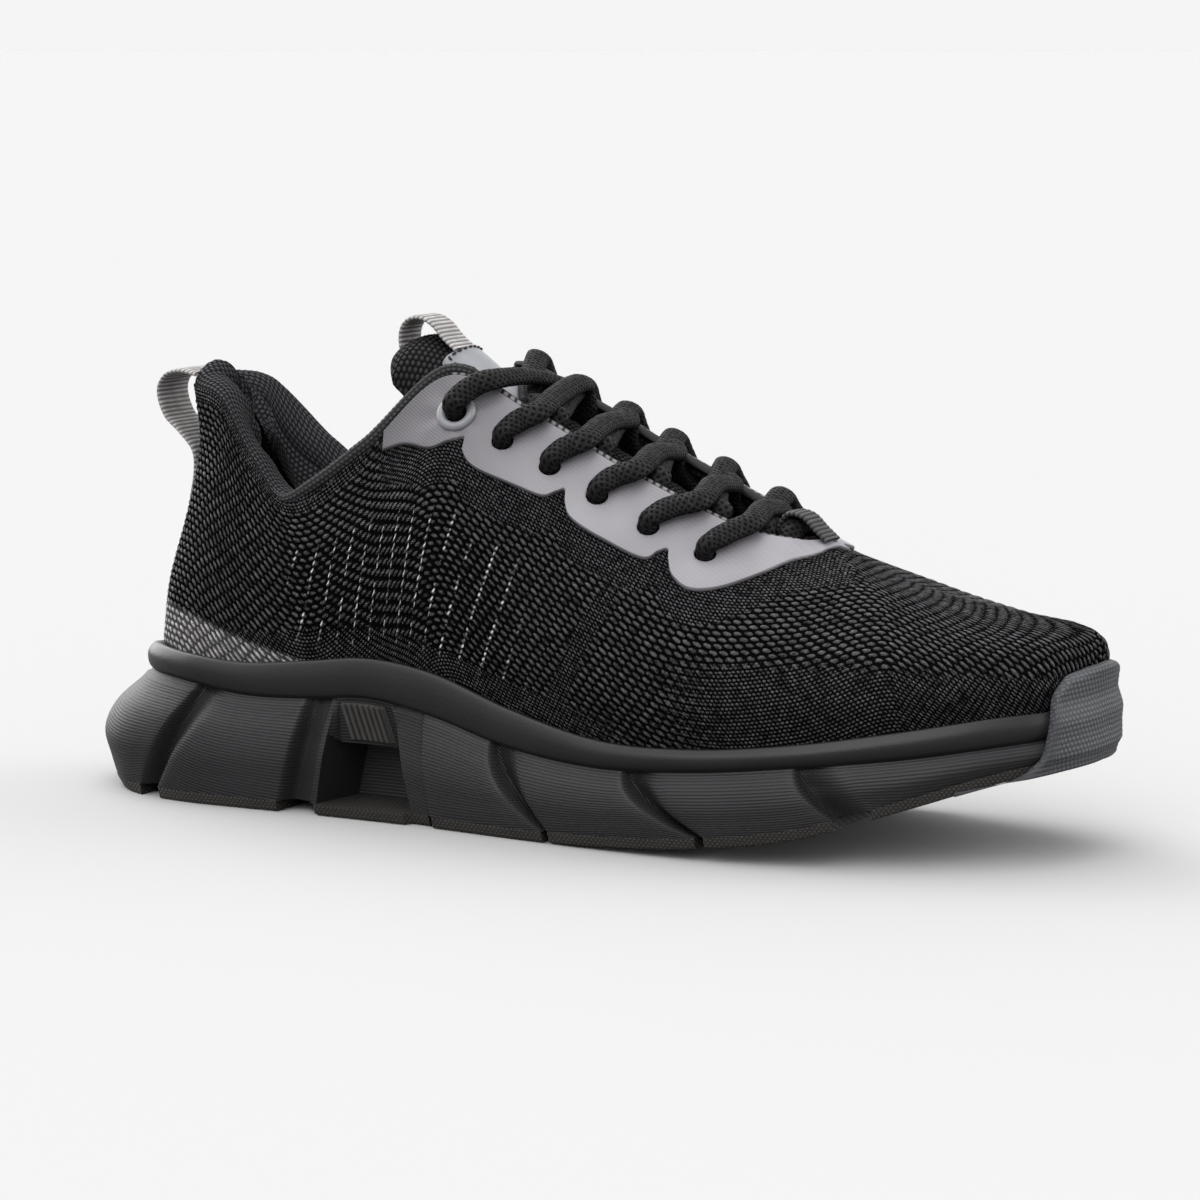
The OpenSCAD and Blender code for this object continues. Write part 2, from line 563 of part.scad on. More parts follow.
// How far the strands into the outer holes stand over the inner edge of the throat
BULGE = [2.6, 2.2, 2.6, 3.4, 6.2, 3];
function strand_lift(i, s) =
    s == 0
        ? [BULGE[i], i == 4 ? 5 : 4.4]
        : (i == 5 ? [-0.1, 0.3] : [1, 1.4]);
// From the dive under one edge at station k, across the throat and into hole i of side s
function crossing(i, s, k) =
    let (
        from = dive(flip(k, 1 - s)), h = HOLES[i], u = flip(h[0], s), ring = i == 5 ? 1.6 : 0,
        far = skin(flip(k, 1 - s), 1), e = flip(mix(h[0], k, 0.7), s), near = skin(e, 1),
        n = normal(e, 0.97), m = flip(mix(h[0], k, 0.3), s)
    )
    [
        from[0], from[1],
        mix(far, near, 0.25) + [0, 0, strand_lift(i, s)[0]],
        mix(far, near, 0.64) + [0, 0, strand_lift(i, s)[1]],
        near + n * (3.6 + ring / 2), layer(m, mix(h[1], 1, 0.5), 3.7 + ring),
        layer(u, h[1] + 0.01, 3.3 + ring), layer(u, h[1], 0.9 + ring), layer(u, h[1], -2.6),
        layer(u, mix(h[1], 1, 0.15), -4.8)
    ];
RISE = [0.42, 0.17];
function lace_half(first) = [
    for (i = [0:5])
        let (s = (first + i) % 2, k = HOLES[i][0] + (i == 5 ? 0.75 : RISE[s]))
        each crossing(i, s, k)
];
TAIL = [
    [6.12, 0.78, -6.5], [6, 0.6, -8], [5.8, 0.42, -8], [5.4, 0.28, -7.5], [4.9, 0.24, -8], [4.4, 0.24, -8.5]
];
function tail(s) = [
    for (q = TAIL)
        layer(flip(q[0], s), q[1], q[2])
];
BAR = [[214.5, -4.2, 78.8], [214.5, -1, 82.2], [214.4, 4, 83], [214.5, 8.6, 82.2], [214.5, 11.6, 79.2]];
function bar_end(s) = [layer(flip(9.75, s), 0.965, -4.8), layer(flip(9.45, s), 0.95, -5)];
function reversed(list) = [for (i = [len(list) - 1:-1:0]) list[i]];
LACE = concat(
    reversed(tail(1)), reversed(lace_half(0)), reversed(bar_end(1)), reversed(BAR),
    bar_end(0), lace_half(1), tail(0));
module lace() color("#101012") in_frame() tube(LACE, lace_d);
module aglets() {
    color("#19191b") in_frame()
    for (ends = [[LACE[0], LACE[1]], [LACE[len(LACE) - 1], LACE[len(LACE) - 2]]]) {
        d = unit(ends[0] - ends[1]);
        translate(ends[0] + d * 0.1) rotate([0, acos(d.z), atan2(d.y, d.x)])
            cylinder(h = 22, d = 4, $fn = 24);
    }
}

midsole();
arch_insert_outer();
arch_insert_inner();
toe_bumper();
strobel_board();
insole();
outsole_heel();
outsole_rear();
outsole_arch();
outsole_forefoot_rear();
outsole_forefoot_middle();
outsole_forefoot_front();
outsole_toe();
knit_upper();
heel_counter();
toe_puff();
collar_foam();
collar_lining();
vamp_lining();
eyestay();
eyestay_backing();
eyelet_ring_outer();
eyelet_ring_inner();
topline_binding();
heel_strip();
heel_loop();
throat_bar();
tongue_shell();
tongue_foam();
tongue_lining();
tongue_label();
tongue_loop();
lace();
aglets();
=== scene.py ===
"""Looks of the running shoe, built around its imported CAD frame.

Lengths are in millimetres, in the design's own axes (x from the heel, z from the ground),
until build() turns them into metres in the frame. Piece by piece: sole, upper, collar,
eyestay, tongue, loops, lace, then the hidden parts, the floor, the lights and the camera.
"""
import math

import bpy
import numpy as np
from mathutils.kdtree import KDTree
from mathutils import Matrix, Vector


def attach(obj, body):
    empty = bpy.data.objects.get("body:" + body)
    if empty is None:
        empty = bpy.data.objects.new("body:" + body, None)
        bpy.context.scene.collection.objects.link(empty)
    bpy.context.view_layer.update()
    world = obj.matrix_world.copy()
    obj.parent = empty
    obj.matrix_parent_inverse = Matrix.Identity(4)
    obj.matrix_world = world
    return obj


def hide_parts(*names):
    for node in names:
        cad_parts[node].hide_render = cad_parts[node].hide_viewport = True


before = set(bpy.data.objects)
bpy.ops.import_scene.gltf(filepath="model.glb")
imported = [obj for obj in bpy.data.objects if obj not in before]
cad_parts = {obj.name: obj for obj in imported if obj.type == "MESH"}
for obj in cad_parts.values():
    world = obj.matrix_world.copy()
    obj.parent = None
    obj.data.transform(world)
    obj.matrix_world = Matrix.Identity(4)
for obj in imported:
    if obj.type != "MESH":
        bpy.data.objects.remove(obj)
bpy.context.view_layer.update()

MIDDLE = np.array([151.211, -0.184, 0.0])
MM = 0.001
SHOE, TONGUE_BODY = "shoe", "tongue"

# Surface of the upper, as in part.scad: rows rim, waist, shoulder, crown and edge
OUTER_SIDE = [
    [[19.5, 0, 40], [24, 0, 58], [30.8, 0, 80], [33.6, 0, 98], [28, 0, 114.5]],
    [[27, -19, 42], [29, -18.5, 60], [34, -16.5, 80], [36, -13, 98], [32.5, -9.5, 114.3]],
    [[43, -30, 41.5], [44, -29.5, 60], [46, -26.5, 80], [47, -21, 98], [45, -16, 111]],
    [[63, -33, 40.5], [63, -33.5, 54], [62, -32, 68], [61, -28, 83], [59, -22.5, 95.5]],
    [[84, -34, 42.5], [83, -34.5, 53], [82, -34, 64], [80, -32.5, 76], [75, -28.8, 85.8]],
    [[104, -35, 44.5], [103, -36.5, 57], [102, -36, 70], [101, -33.5, 84], [98, -28, 100]],
    [[126, -37.5, 42], [125, -39, 58], [123.5, -37.5, 76], [121.5, -32, 98], [119.5, -18.5, 121]],
    [[152, -41.5, 34.5], [150, -43.5, 51], [149, -41, 70], [147, -32, 92], [145, -16.5, 111]],
    [[180, -45.5, 29], [178, -47.5, 44], [176, -44, 62], [174, -33, 80], [171, -16, 97.8]],
    [[208, -47.5, 29], [206, -49.5, 42], [205, -45, 57], [204, -31, 72], [203, -13, 83.5]],
    [[236, -45.5, 32], [234, -47, 43], [231, -41, 56], [226, -25, 70], [218, -6, 79.5]],
    [[262, -36, 36], [260, -37.5, 45], [256, -32, 56], [246, -16, 67.4], [225, 4, 77.6]],
    [[280, -26, 39], [279, -27, 47], [276, -21.5, 56], [268, -9, 61.6], [250, 4.8, 68]],
    [[293, -12.5, 40.2], [293.5, -13, 47.5], [292.5, -10.5, 55], [287, -3.5, 59.4], [272, 6, 63.6]],
    [[297.5, 6.5, 41], [298.5, 6.5, 47.5], [300, 6.5, 54], [297.5, 6.5, 58.6], [291, 7, 61]],
]
INNER_SIDE = [
    [[293.5, 25, 40.2], [294, 26, 47.5], [293, 22.5, 55], [288, 15, 59.2], [272, 6, 63.6]],
    [[282, 34.5, 39], [281, 35.5, 48], [278, 30, 57], [269.5, 19, 61.2], [250, 4.8, 68]],
    [[262, 42, 36], [260, 43.5, 46], [256, 38.5, 58], [246, 24, 66.6], [225, 4, 77.6]],
    [[236, 47, 32], [234, 48.5, 43], [231, 44, 57], [226, 31, 68.6], [218, 13.5, 79.2]],
    [[208, 46.5, 29], [206, 48.5, 43], [205, 45.5, 58], [204, 35, 73], [203, 19, 84.5]],
    [[180, 42, 30], [178, 44, 46], [176, 42, 64], [174, 34, 82], [171, 21, 98.5]],
    [[152, 36, 36], [150, 39, 53], [149, 39, 72], [147, 33, 92], [145, 20.5, 111.5]],
    [[126, 31, 43], [125, 34.5, 59], [123.5, 35.5, 77], [121.5, 32, 98], [119.5, 20, 121]],
    [[104, 30, 45.5], [103, 32.5, 58], [102, 33.5, 72], [101, 32, 86], [99, 27, 100.5]],
    [[84, 31.5, 43.5], [83, 32.5, 55], [82, 32.5, 67], [80, 31, 79], [75, 28, 87]],
    [[63, 32, 41], [63, 32.5, 55], [62, 31.5, 70], [61, 28, 85], [60, 22, 97.5]],
    [[43, 29.5, 41.5], [44, 29, 60], [46, 26.5, 80], [47, 21, 98], [45, 16, 113]],
    [[27, 19, 42], [29, 18.5, 60], [34, 16.5, 80], [36, 13, 98], [32.5, 9.5, 114.3]],
]
NET = np.array(OUTER_SIDE + INNER_SIDE, float)
STATIONS = len(NET)
# Station where the throat begins, and the row of the top edge
THROAT = 11
EDGE_ROW = 4

# Sole at stations 0 to 14: cup floor, band bottom and ground heights, then how far the
# band bottom, the widest pod and the pod bottom stand out from the rim
SOLE = np.array([
    [30, 35, 0, 3.5, 19.5, 14.5], [30, 35.5, 0, 4, 15, 11], [30, 34.8, 0, 3.2, 8, 5.5],
    [30.5, 32.5, 0, 2.8, 5.5, 3.5], [31.5, 33, 0, 2.8, 5, 3], [32, 34.4, 0, 2.8, 5, 3],
    [30, 31.3, 0, 2.8, 4.5, 2.5], [25.5, 25.2, 0, 2.8, 4.5, 2.5], [21, 22.7, 0.8, 3, 4.5, 2.5],
    [19, 24, 2.9, 3, 4.5, 2.5], [20, 27, 7.2, 3, 4, 2], [23, 29.8, 15.4, 3, 3.8, 1.8],
    [26, 32.4, 21.3, 2.6, 2.8, 1], [28, 34, 24.4, 1.8, 2, 0.4], [29, 34.5, 25.4, 1.2, 2, 0.4],
])
# Foam columns: x at the band, x at the ground, groove share, 1 in the arch hollow, and how
# much the column bends forward near the ground
PODS = np.array([
    [19.6, 19.6, 0, 0, 1], [20.4, 20.4, 0, 0, 1], [22, 21.8, 0, 0, 1], [24.5, 23.8, 0, 0, 1],
    [27.5, 25.8, 0, 0, 1], [32, 28, 0, 0, 1], [38, 30, 0, 0, 1], [47.4, 32.6, 0, 0, 1],
    [49.3, 34, 1, 0, 1], [58.7, 38, 0, 0, 1], [83, 74.5, 0, 0, 1], [86, 77.5, 1, 0, 1],
    [91, 84, 0.75, 0, 1], [92, 85, 0.3, 0, 1], [93.3, 86.8, 0.3, 0, 1], [94.5, 88.5, 0, 1, 1],
    [111.5, 116, 0, 1, 1], [113, 118, 0.5, 0, 1.2], [121.6, 123.6, 0.45, 0, 1.4],
    [123.5, 126, 0, 0, 1.6], [144.6, 162.6, 0, 0, 2.1], [146.5, 163.8, 1, 0, 2.1],
    [156.7, 164.8, 0, 0, 2.1], [186.9, 209.4, 0, 0, 2.1], [189, 210.6, 1, 0, 2.1],
    [199.3, 212, 0, 0, 2.1], [235.4, 244.6, 0, 0, 2], [237.5, 246, 0.8, 0, 2],
    [247, 254, 0, 0, 1.8], [262, 264, 0, 0, 1], [272, 273, 0, 0, 1], [280, 281, 0, 0, 1],
    [286.5, 287, 0, 0, 1], [292, 292, 0, 0, 1], [295, 295, 0, 0, 1], [296.6, 296.6, 0, 0, 1],
    [297.4, 297.4, 0, 0, 1],
])
STATION_X = [19.5, 27, 43, 63, 84, 104, 126, 152, 180, 208, 236, 262, 281, 293, 297.5]
PAD_T, GROOVE_D, HOLLOW_D = 3.0, 5.0, 17.0
# Pads: first and last place along PODS
PADS = {
    "outsole_heel": (0, 7), "outsole_rear": (9, 10), "outsole_arch": (13.5, 18),
    "outsole_forefoot_rear": (19, 20), "outsole_forefoot_middle": (22, 23),
    "outsole_forefoot_front": (25, 26), "outsole_toe": (28, 35.6),
}

# Lower edge of the eyestay: place along the throat, then station and height on the upper
EYESTAY_EDGE = np.array([
    [5.25, 5.25, 0.93], [5.5, 5.5, 0.88], [5.9, 5.9, 0.8], [6.16, 6.16, 0.81],
    [6.32, 6.34, 0.83], [6.4, 6.36, 0.79], [6.52, 6.52, 0.76], [6.87, 6.87, 0.76],
    [7.27, 7.27, 0.77], [7.43, 7.43, 0.81], [7.5, 7.51, 0.83], [7.57, 7.55, 0.79],
    [7.65, 7.65, 0.76], [8.01, 8.01, 0.75], [8.38, 8.38, 0.74], [8.49, 8.49, 0.78],
    [8.55, 8.56, 0.8], [8.61, 8.6, 0.76], [8.68, 8.68, 0.71], [8.87, 8.87, 0.68],
    [9.16, 9.16, 0.71], [9.56, 9.56, 0.79], [10, 10, 0.885], [10.5, 10.55, 0.94],
    [10.8, 10.9, 0.975], [11, 11.15, 1],
])
# Lace holes from the front to the top: station and height
HOLES = [[8.88, 0.83], [8.35, 0.85], [7.84, 0.87], [7.3, 0.87], [6.75, 0.87], [6.2, 0.89]]
TOP_HOLE = HOLES[5]
HOLE_D = 6.0
# Pitches of the knitted, dotted and ribbed surfaces
LINING_MESH, TONGUE_MESH, BINDING_KNIT = (1.7, 1.45), (2.0, 1.5), (1.5, 1.1)
BUMPER_DOTS, WEBBING_RIB, POD_LINES = (1.55, 1.35), 1.35, 0.95
# Tongue from its sewn base to its top: middle line, half width, sideways drop, thickness
TONGUE = np.array([
    [223, 4, 70, 11, 1, 1.6], [205, 3.5, 77.5, 16, 5, 2.2], [185, 3.5, 87, 19, 9, 3],
    [165, 3, 97.5, 20, 11, 4], [145, 2.5, 107.8, 20, 12, 5], [128, 1.8, 116.4, 17.4, 12, 6.5],
    [116, 2, 123.8, 18, 9.5, 7.5], [106.5, 1.5, 129.4, 19.5, 6.5, 8.5],
    [98.5, 1.5, 131, 19, 5.5, 8],
])


# ---- numbers ----
def mix(a, b, f):
    return a + (b - a) * f


def unit(v):
    return v / np.maximum(np.linalg.norm(v, axis=-1, keepdims=True), 1e-9)


def step(a, b, x):
    """0 before a, 1 after b, smooth between."""
    f = np.clip((np.asarray(x, float) - a) / (b - a), 0, 1)
    return f * f * (3 - 2 * f)


def spline(a, b, c, d, f):
    return 0.5 * (2 * b + (c - a) * f + (2 * a - 5 * b + 4 * c - d) * f ** 2
                  + (3 * b - a - 3 * c + d) * f ** 3)


def along(table, p):
    """Smooth value at places p along the first axis of a table, with straight ends."""
    table, p = np.asarray(table, float), np.asarray(p, float)
    n = len(table)
    i = np.clip(np.floor(p).astype(int), 0, n - 2)
    f = (p - i).reshape(p.shape + (1,) * (table.ndim - 1))
    b, c = table[i], table[i + 1]
    first = (i > 0).reshape(f.shape)
    last = (i < n - 2).reshape(f.shape)
    a = np.where(first, table[np.maximum(i - 1, 0)], 2 * b - c)
    d = np.where(last, table[np.minimum(i + 2, n - 1)], 2 * c - b)
    return spline(a, b, c, d, f)


def resample(values, places, new_places):
    """Rows known at some places, read at new places, straight between them."""
    return np.stack([np.interp(new_places, places, values[:, k])
                     for k in range(values.shape[1])], -1)


def ease(table, p):
    """Value at places p along a table, straight between its entries."""
    return resample(np.asarray(table, float), np.arange(len(table)), np.asarray(p, float))


def run(points):
    """Distance along the last but one axis of a grid of points."""
    legs = np.linalg.norm(np.diff(points, axis=-2), axis=-1)
    return np.concatenate([np.zeros(legs.shape[:-1] + (1,)), np.cumsum(legs, -1)], -1)


def spans(points):
    """Distances along the first and along the second axis of a grid of points."""
    return run(np.swapaxes(points, 0, 1)).T, run(points)


def grid(u, t):
    """Every u with every t, as two grids."""
    return np.meshgrid(u, t, indexing="ij")


def smoothed(values, times, axis=0):
    """Values averaged with their neighbours, with the ends kept."""
    values = np.moveaxis(np.array(values, float), axis, 0)
    for _ in range(times):
        values[1:-1] = (values[:-2] + 2 * values[1:-1] + values[2:]) / 4
    return np.moveaxis(values, 0, axis)


def rounding(distance, width):
    """0 at an edge, rising in a quarter circle to 1 at a width from it."""
    return np.sqrt(np.clip(1 - (1 - np.clip(distance / width, 0, 1)) ** 2, 0, 1))


# ---- surface of the upper ----
def net_rows(u):
    u = np.asarray(u, float) % STATIONS
    i = np.floor(u).astype(int)
    p = [NET[(i + k) % STATIONS].copy() for k in (-1, 0, 1, 2)]
    fork, join = i == THROAT, i == STATIONS - THROAT - 1
    p[0][fork, EDGE_ROW] = 2 * p[1][fork, EDGE_ROW] - p[2][fork, EDGE_ROW]
    p[3][join, EDGE_ROW] = 2 * p[2][join, EDGE_ROW] - p[1][join, EDGE_ROW]
    return spline(*p, (u - i)[..., None, None])


def skin(u, t):
    u, t = np.broadcast_arrays(np.asarray(u, float), np.asarray(t, float))
    rows = net_rows(u)
    place = np.clip(t, 0, 1) * EDGE_ROW
    i = np.clip(np.floor(place).astype(int), 0, EDGE_ROW - 1)

    def row(k):
        return np.take_along_axis(rows, k[..., None, None], -2)[..., 0, :]

    b, c = row(i), row(i + 1)
    a = np.where((i > 0)[..., None], row(np.maximum(i - 1, 0)), 2 * b - c)
    d = np.where((i < EDGE_ROW - 1)[..., None], row(np.minimum(i + 2, EDGE_ROW)), 2 * c - b)
    return spline(a, b, c, d, (place - i)[..., None])


def normal(u, t):
    u, t = np.broadcast_arrays(np.asarray(u, float), np.asarray(t, float))
    low = np.minimum(t, 0.98)

    def one(w):
        return unit(np.cross(skin(w + 0.02, low) - skin(w - 0.02, low),
                             skin(w, low + 0.02) - skin(w, low)))

    ridge = step(0.9, 1, t) * step(THROAT - 0.05, THROAT + 0.05, fold(u)) * 0.5
    other = one(STATIONS - u)
    return unit(mix(one(u), other, ridge[..., None]))


def layer(u, t, out):
    return skin(u, t) + normal(u, t) * np.asarray(out, float)[..., None]


# ---- outline of the sole ----
def fold(u):
    u = np.asarray(u, float) % STATIONS
    return np.minimum(u, STATIONS - u)


def flip(u, side):
    """The same station on the outer (0) or the inner (1) side."""
    return u if side == 0 else STATIONS - u


def station_of(x):
    return np.interp(x, STATION_X, np.arange(15))


def sole_at(u):
    return along(SOLE, fold(u))


def rim(u):
    return net_rows(u)[..., 0, :]


def sole_point(u, out, z):
    d = rim(np.asarray(u) + 0.02) - rim(np.asarray(u) - 0.02)
    n = unit(np.stack([d[..., 1], -d[..., 0], 0 * d[..., 0]], -1))
    p = rim(u) + n * np.asarray(out, float)[..., None]
    p[..., 2] = z
    return p


# ---- meshes ----
def build(name, points, quads, polygons=(), smooth=True, attributes=None, body=SHOE):
    """A mesh object from points in millimetres, riding on a body."""
    points = np.asarray(points, float).reshape(-1, 3)
    quads = np.asarray(quads, int).reshape(-1, 4)
    volume = 0.0
    for a, b, c in ((0, 1, 2), (0, 2, 3)):
        p = [points[quads[:, k]] - points.mean(0) for k in (a, b, c)]
        volume += np.einsum("ij,ij->", p[0], np.cross(p[1], p[2]))
    if volume < 0:
        quads = quads[:, ::-1]
        polygons = [list(reversed(p)) for p in polygons]
    me = bpy.data.meshes.new(name)
    counts = [4] * len(quads) + [len(p) for p in polygons]
    loops = np.concatenate([quads.ravel()] + [np.asarray(p, int) for p in polygons])
    me.vertices.add(len(points))
    me.vertices.foreach_set("co", ((points - MIDDLE) * MM).astype(np.float32).ravel())
    me.loops.add(len(loops))
    me.loops.foreach_set("vertex_index", loops.astype(np.int32))
    me.polygons.add(len(counts))
    starts = np.concatenate([[0], np.cumsum(counts)[:-1]])
    me.polygons.foreach_set("loop_start", starts.astype(np.int32))
    me.polygons.foreach_set("loop_total", np.array(counts, np.int32))
    me.update(calc_edges=True)
    for key, values in (attributes or {}).items():
        layer_data = me.attributes.new(key, "FLOAT_VECTOR", "POINT")
        values = np.asarray(values, float).reshape(-1, 3)
        layer_data.data.foreach_set("vector", values.astype(np.float32).ravel())
    me.validate()
    me.shade_smooth()
    if smooth is not True:
        me.set_sharp_from_angle(angle=math.radians(smooth))
    piece = bpy.data.objects.new(name, me)
    bpy.context.scene.collection.objects.link(piece)
    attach(piece, body)
    return piece


def loft(name, sections, closed=False, **more):
    """A solid through equal closed sections, with its ends capped."""
    sections = np.asarray(sections, float)
    n, m = sections.shape[:2]
    index = np.arange(n * m).reshape(n, m)
    first = index if closed else index[:-1]
    second = np.roll(index, -1, 0) if closed else index[1:]
    quads = np.stack([first, np.roll(first, -1, 1), np.roll(second, -1, 1), second], -1)
    caps = [] if closed else [index[0].tolist(), index[-1][::-1].tolist()]
    return build(name, sections, quads, caps, **more)


def sheet(name, face, back, marks, **more):
    """A solid between two facing grids of points, with the same marks on both."""
    marks = np.concatenate([marks, marks[:, ::-1]], 1)
    sections = np.concatenate([face, back[:, ::-1]], 1)
    return loft(name, sections, attributes={"cloth": marks}, **more)


def finish_piece(piece, mat, nodes):
    piece.data.materials.append(mat)
    if nodes:
        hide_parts(*nodes)
    return piece


def circle(n, sides):
    """Directions round a normal."""
    across = unit(np.cross(n, [0.2, 0.3, 1.0]))
    turn = np.linspace(0, 2 * math.pi, sides, endpoint=False)
    return np.cos(turn)[:, None] * across + np.sin(turn)[:, None] * np.cross(n, across)


def tube_sections(route, across, width, height, sides):
    """Oval sections along a route. across points along each section's width."""
    way = unit(np.gradient(route, axis=0))
    across = unit(across - way * np.sum(across * way, -1, keepdims=True))
    up = np.cross(way, across)
    turn = np.linspace(0, 2 * math.pi, sides, endpoint=False)
    w = np.broadcast_to(np.asarray(width, float), len(route))[:, None, None] / 2
    h = np.broadcast_to(np.asarray(height, float), len(route))[:, None, None] / 2
    spread = across[:, None] * np.cos(turn)[None, :, None] * w
    return route[:, None] + spread + up[:, None] * np.sin(turn)[None, :, None] * h


# ---- materials ----
class Shader:
    """A Principled material whose colour, roughness and bump come from nodes."""

    def __init__(self, name, roughness=0.6, shine=0.2, **values):
        self.mat = bpy.data.materials.new(name)
        self.mat.use_nodes = True
        self.tree = self.mat.node_tree
        self.bsdf = self.tree.nodes["Principled BSDF"]
        self.bsdf.inputs["Roughness"].default_value = roughness
        self.bsdf.inputs["Specular IOR Level"].default_value = shine
        for key, value in values.items():
            self.bsdf.inputs[key.replace("_", " ")].default_value = value
        self.last_bump = None

    def node(self, kind, *inputs, **settings):
        made = self.tree.nodes.new(kind)
        for key, value in settings.items():
            setattr(made, key, value)
        for i, value in enumerate(inputs):
            if value is not None:
                self.put(made.inputs[i], value)
        return made

    def put(self, socket, value):
        if isinstance(value, bpy.types.NodeSocket):
            self.tree.links.new(value, socket)
        else:
            socket.default_value = value

    def math(self, operation, *inputs):
        return self.node("ShaderNodeMath", *inputs, operation=operation).outputs[0]

    def times(self, a, b):
        return self.math("MULTIPLY", a, b)

    def plus(self, a, b):
        return self.math("ADD", a, b)

    def minus(self, a, b):
        return self.math("SUBTRACT", a, b)

    def rough(self, value):
        self.put(self.bsdf.inputs["Roughness"], value)

    def shine(self, value):
        self.put(self.bsdf.inputs["Specular IOR Level"], value)

    def parts(self, vector):
        return self.node("ShaderNodeSeparateXYZ", vector).outputs[:]

    def attribute(self, name):
        made = self.node("ShaderNodeAttribute", attribute_name=name)
        return self.parts(made.outputs["Vector"])

    def place(self):
        """Position on the piece, in millimetres."""
        coords = self.node("ShaderNodeTexCoord").outputs["Object"]
        scaled = self.node("ShaderNodeVectorMath", coords, operation="SCALE")
        scaled.inputs["Scale"].default_value = 1 / MM
        return scaled.outputs[0]

    def noise(self, size, detail=3.0):
        made = self.node("ShaderNodeTexNoise")
        self.put(made.inputs["Vector"], self.place())
        made.inputs["Scale"].default_value = 1 / size
        made.inputs["Detail"].default_value = detail
        return made.outputs["Fac"]

    def ramp(self, value, low, high):
        """value from low to high, brought to 0 to 1."""
        made = self.node("ShaderNodeMapRange")
        self.put(made.inputs["Value"], value)
        made.inputs["From Min"].default_value = low
        made.inputs["From Max"].default_value = high
        return made.outputs["Result"]

    def blend(self, share, a, b):
        made = self.node("ShaderNodeMix", data_type="RGBA")
        self.put(made.inputs["Factor"], share)
        for socket, value in ((made.inputs[6], a), (made.inputs[7], b)):
            self.put(socket, value if isinstance(value, bpy.types.NodeSocket) else (*value, 1))
        return made.outputs[2]

    def colour(self, value):
        self.put(self.bsdf.inputs["Base Color"],
                 value if isinstance(value, bpy.types.NodeSocket) else (*value, 1))

    def bump(self, height, depth, strength=1.0):
        """Adds a bump of a depth in millimetres."""
        made = self.node("ShaderNodeBump")
        made.inputs["Strength"].default_value = strength
        made.inputs["Distance"].default_value = depth * MM
        self.put(made.inputs["Height"], height)
        if self.last_bump:
            self.tree.links.new(self.last_bump.outputs[0], made.inputs["Normal"])
        self.tree.links.new(made.outputs[0], self.bsdf.inputs["Normal"])
        self.last_bump = made

    def bricks(self, s, h, pitch_s, pitch_h, slant=0.0):
        """Ovals in a brick pattern: 1 on each oval's top and 0 between."""
        row = self.math("DIVIDE", h, pitch_h)
        shift = self.times(self.math("MODULO", self.math("FLOOR", row), 2.0), 0.5)
        y = self.minus(self.math("FRACT", row), 0.5)
        x = self.plus(self.math("DIVIDE", s, pitch_s), shift)
        x = self.minus(self.math("FRACT", self.plus(x, 50.0)), 0.5)
        x = self.plus(x, self.times(y, slant))
        x2, y2 = (self.times(self.math("POWER", self.math("ABSOLUTE", v), 2.0), 4.4)
                  for v in (x, y))
        return self.math("MAXIMUM", self.minus(1.0, self.plus(x2, y2)), 0.0)

    def lines(self, value, pitch, sharp=1.0):
        """Ridges one pitch apart, from 0 to 1."""
        angle = self.times(value, 2 * math.pi / pitch)
        wave = self.plus(self.times(self.math("SINE", angle), 0.5), 0.5)
        return self.math("POWER", wave, sharp)


def brick_height(s, h, pitch_s, pitch_h, slant=0.0):
    """The same ovals as Shader.bricks, for the mesh."""
    row = h / pitch_h
    y = row % 1 - 0.5
    x = (s / pitch_s + 0.5 * (np.floor(row) % 2) + 50) % 1 - 0.5 + slant * y
    return np.maximum(1 - 4.4 * x ** 2 - 4.4 * y ** 2, 0)


def wavy(points, size):
    """A cheap smooth wobble from -1 to 1 over space, the same on every run."""
    p = np.asarray(points) / size
    total = 0
    for k, w in enumerate(((1.0, 0.7, 0.4), (-0.6, 1.1, 0.8), (0.5, -0.9, 1.3))):
        total = total + np.sin(p @ np.array(w) + 2.1 * k)
    return total / 3


# ---- sole ----
def station_values(top, low):
    """A column's band, pod and foot distances out, then its band and ground heights."""
    s, g = sole_at(top), sole_at(low)
    pod = mix(s[..., 4], g[..., 4], 0.5)
    return s[..., 3], pod, g[..., 5], s[..., 1], np.maximum(g[..., 2], 0)


WALL_F = [0, 0.06, 0.33, 0.58, 0.85, 1]


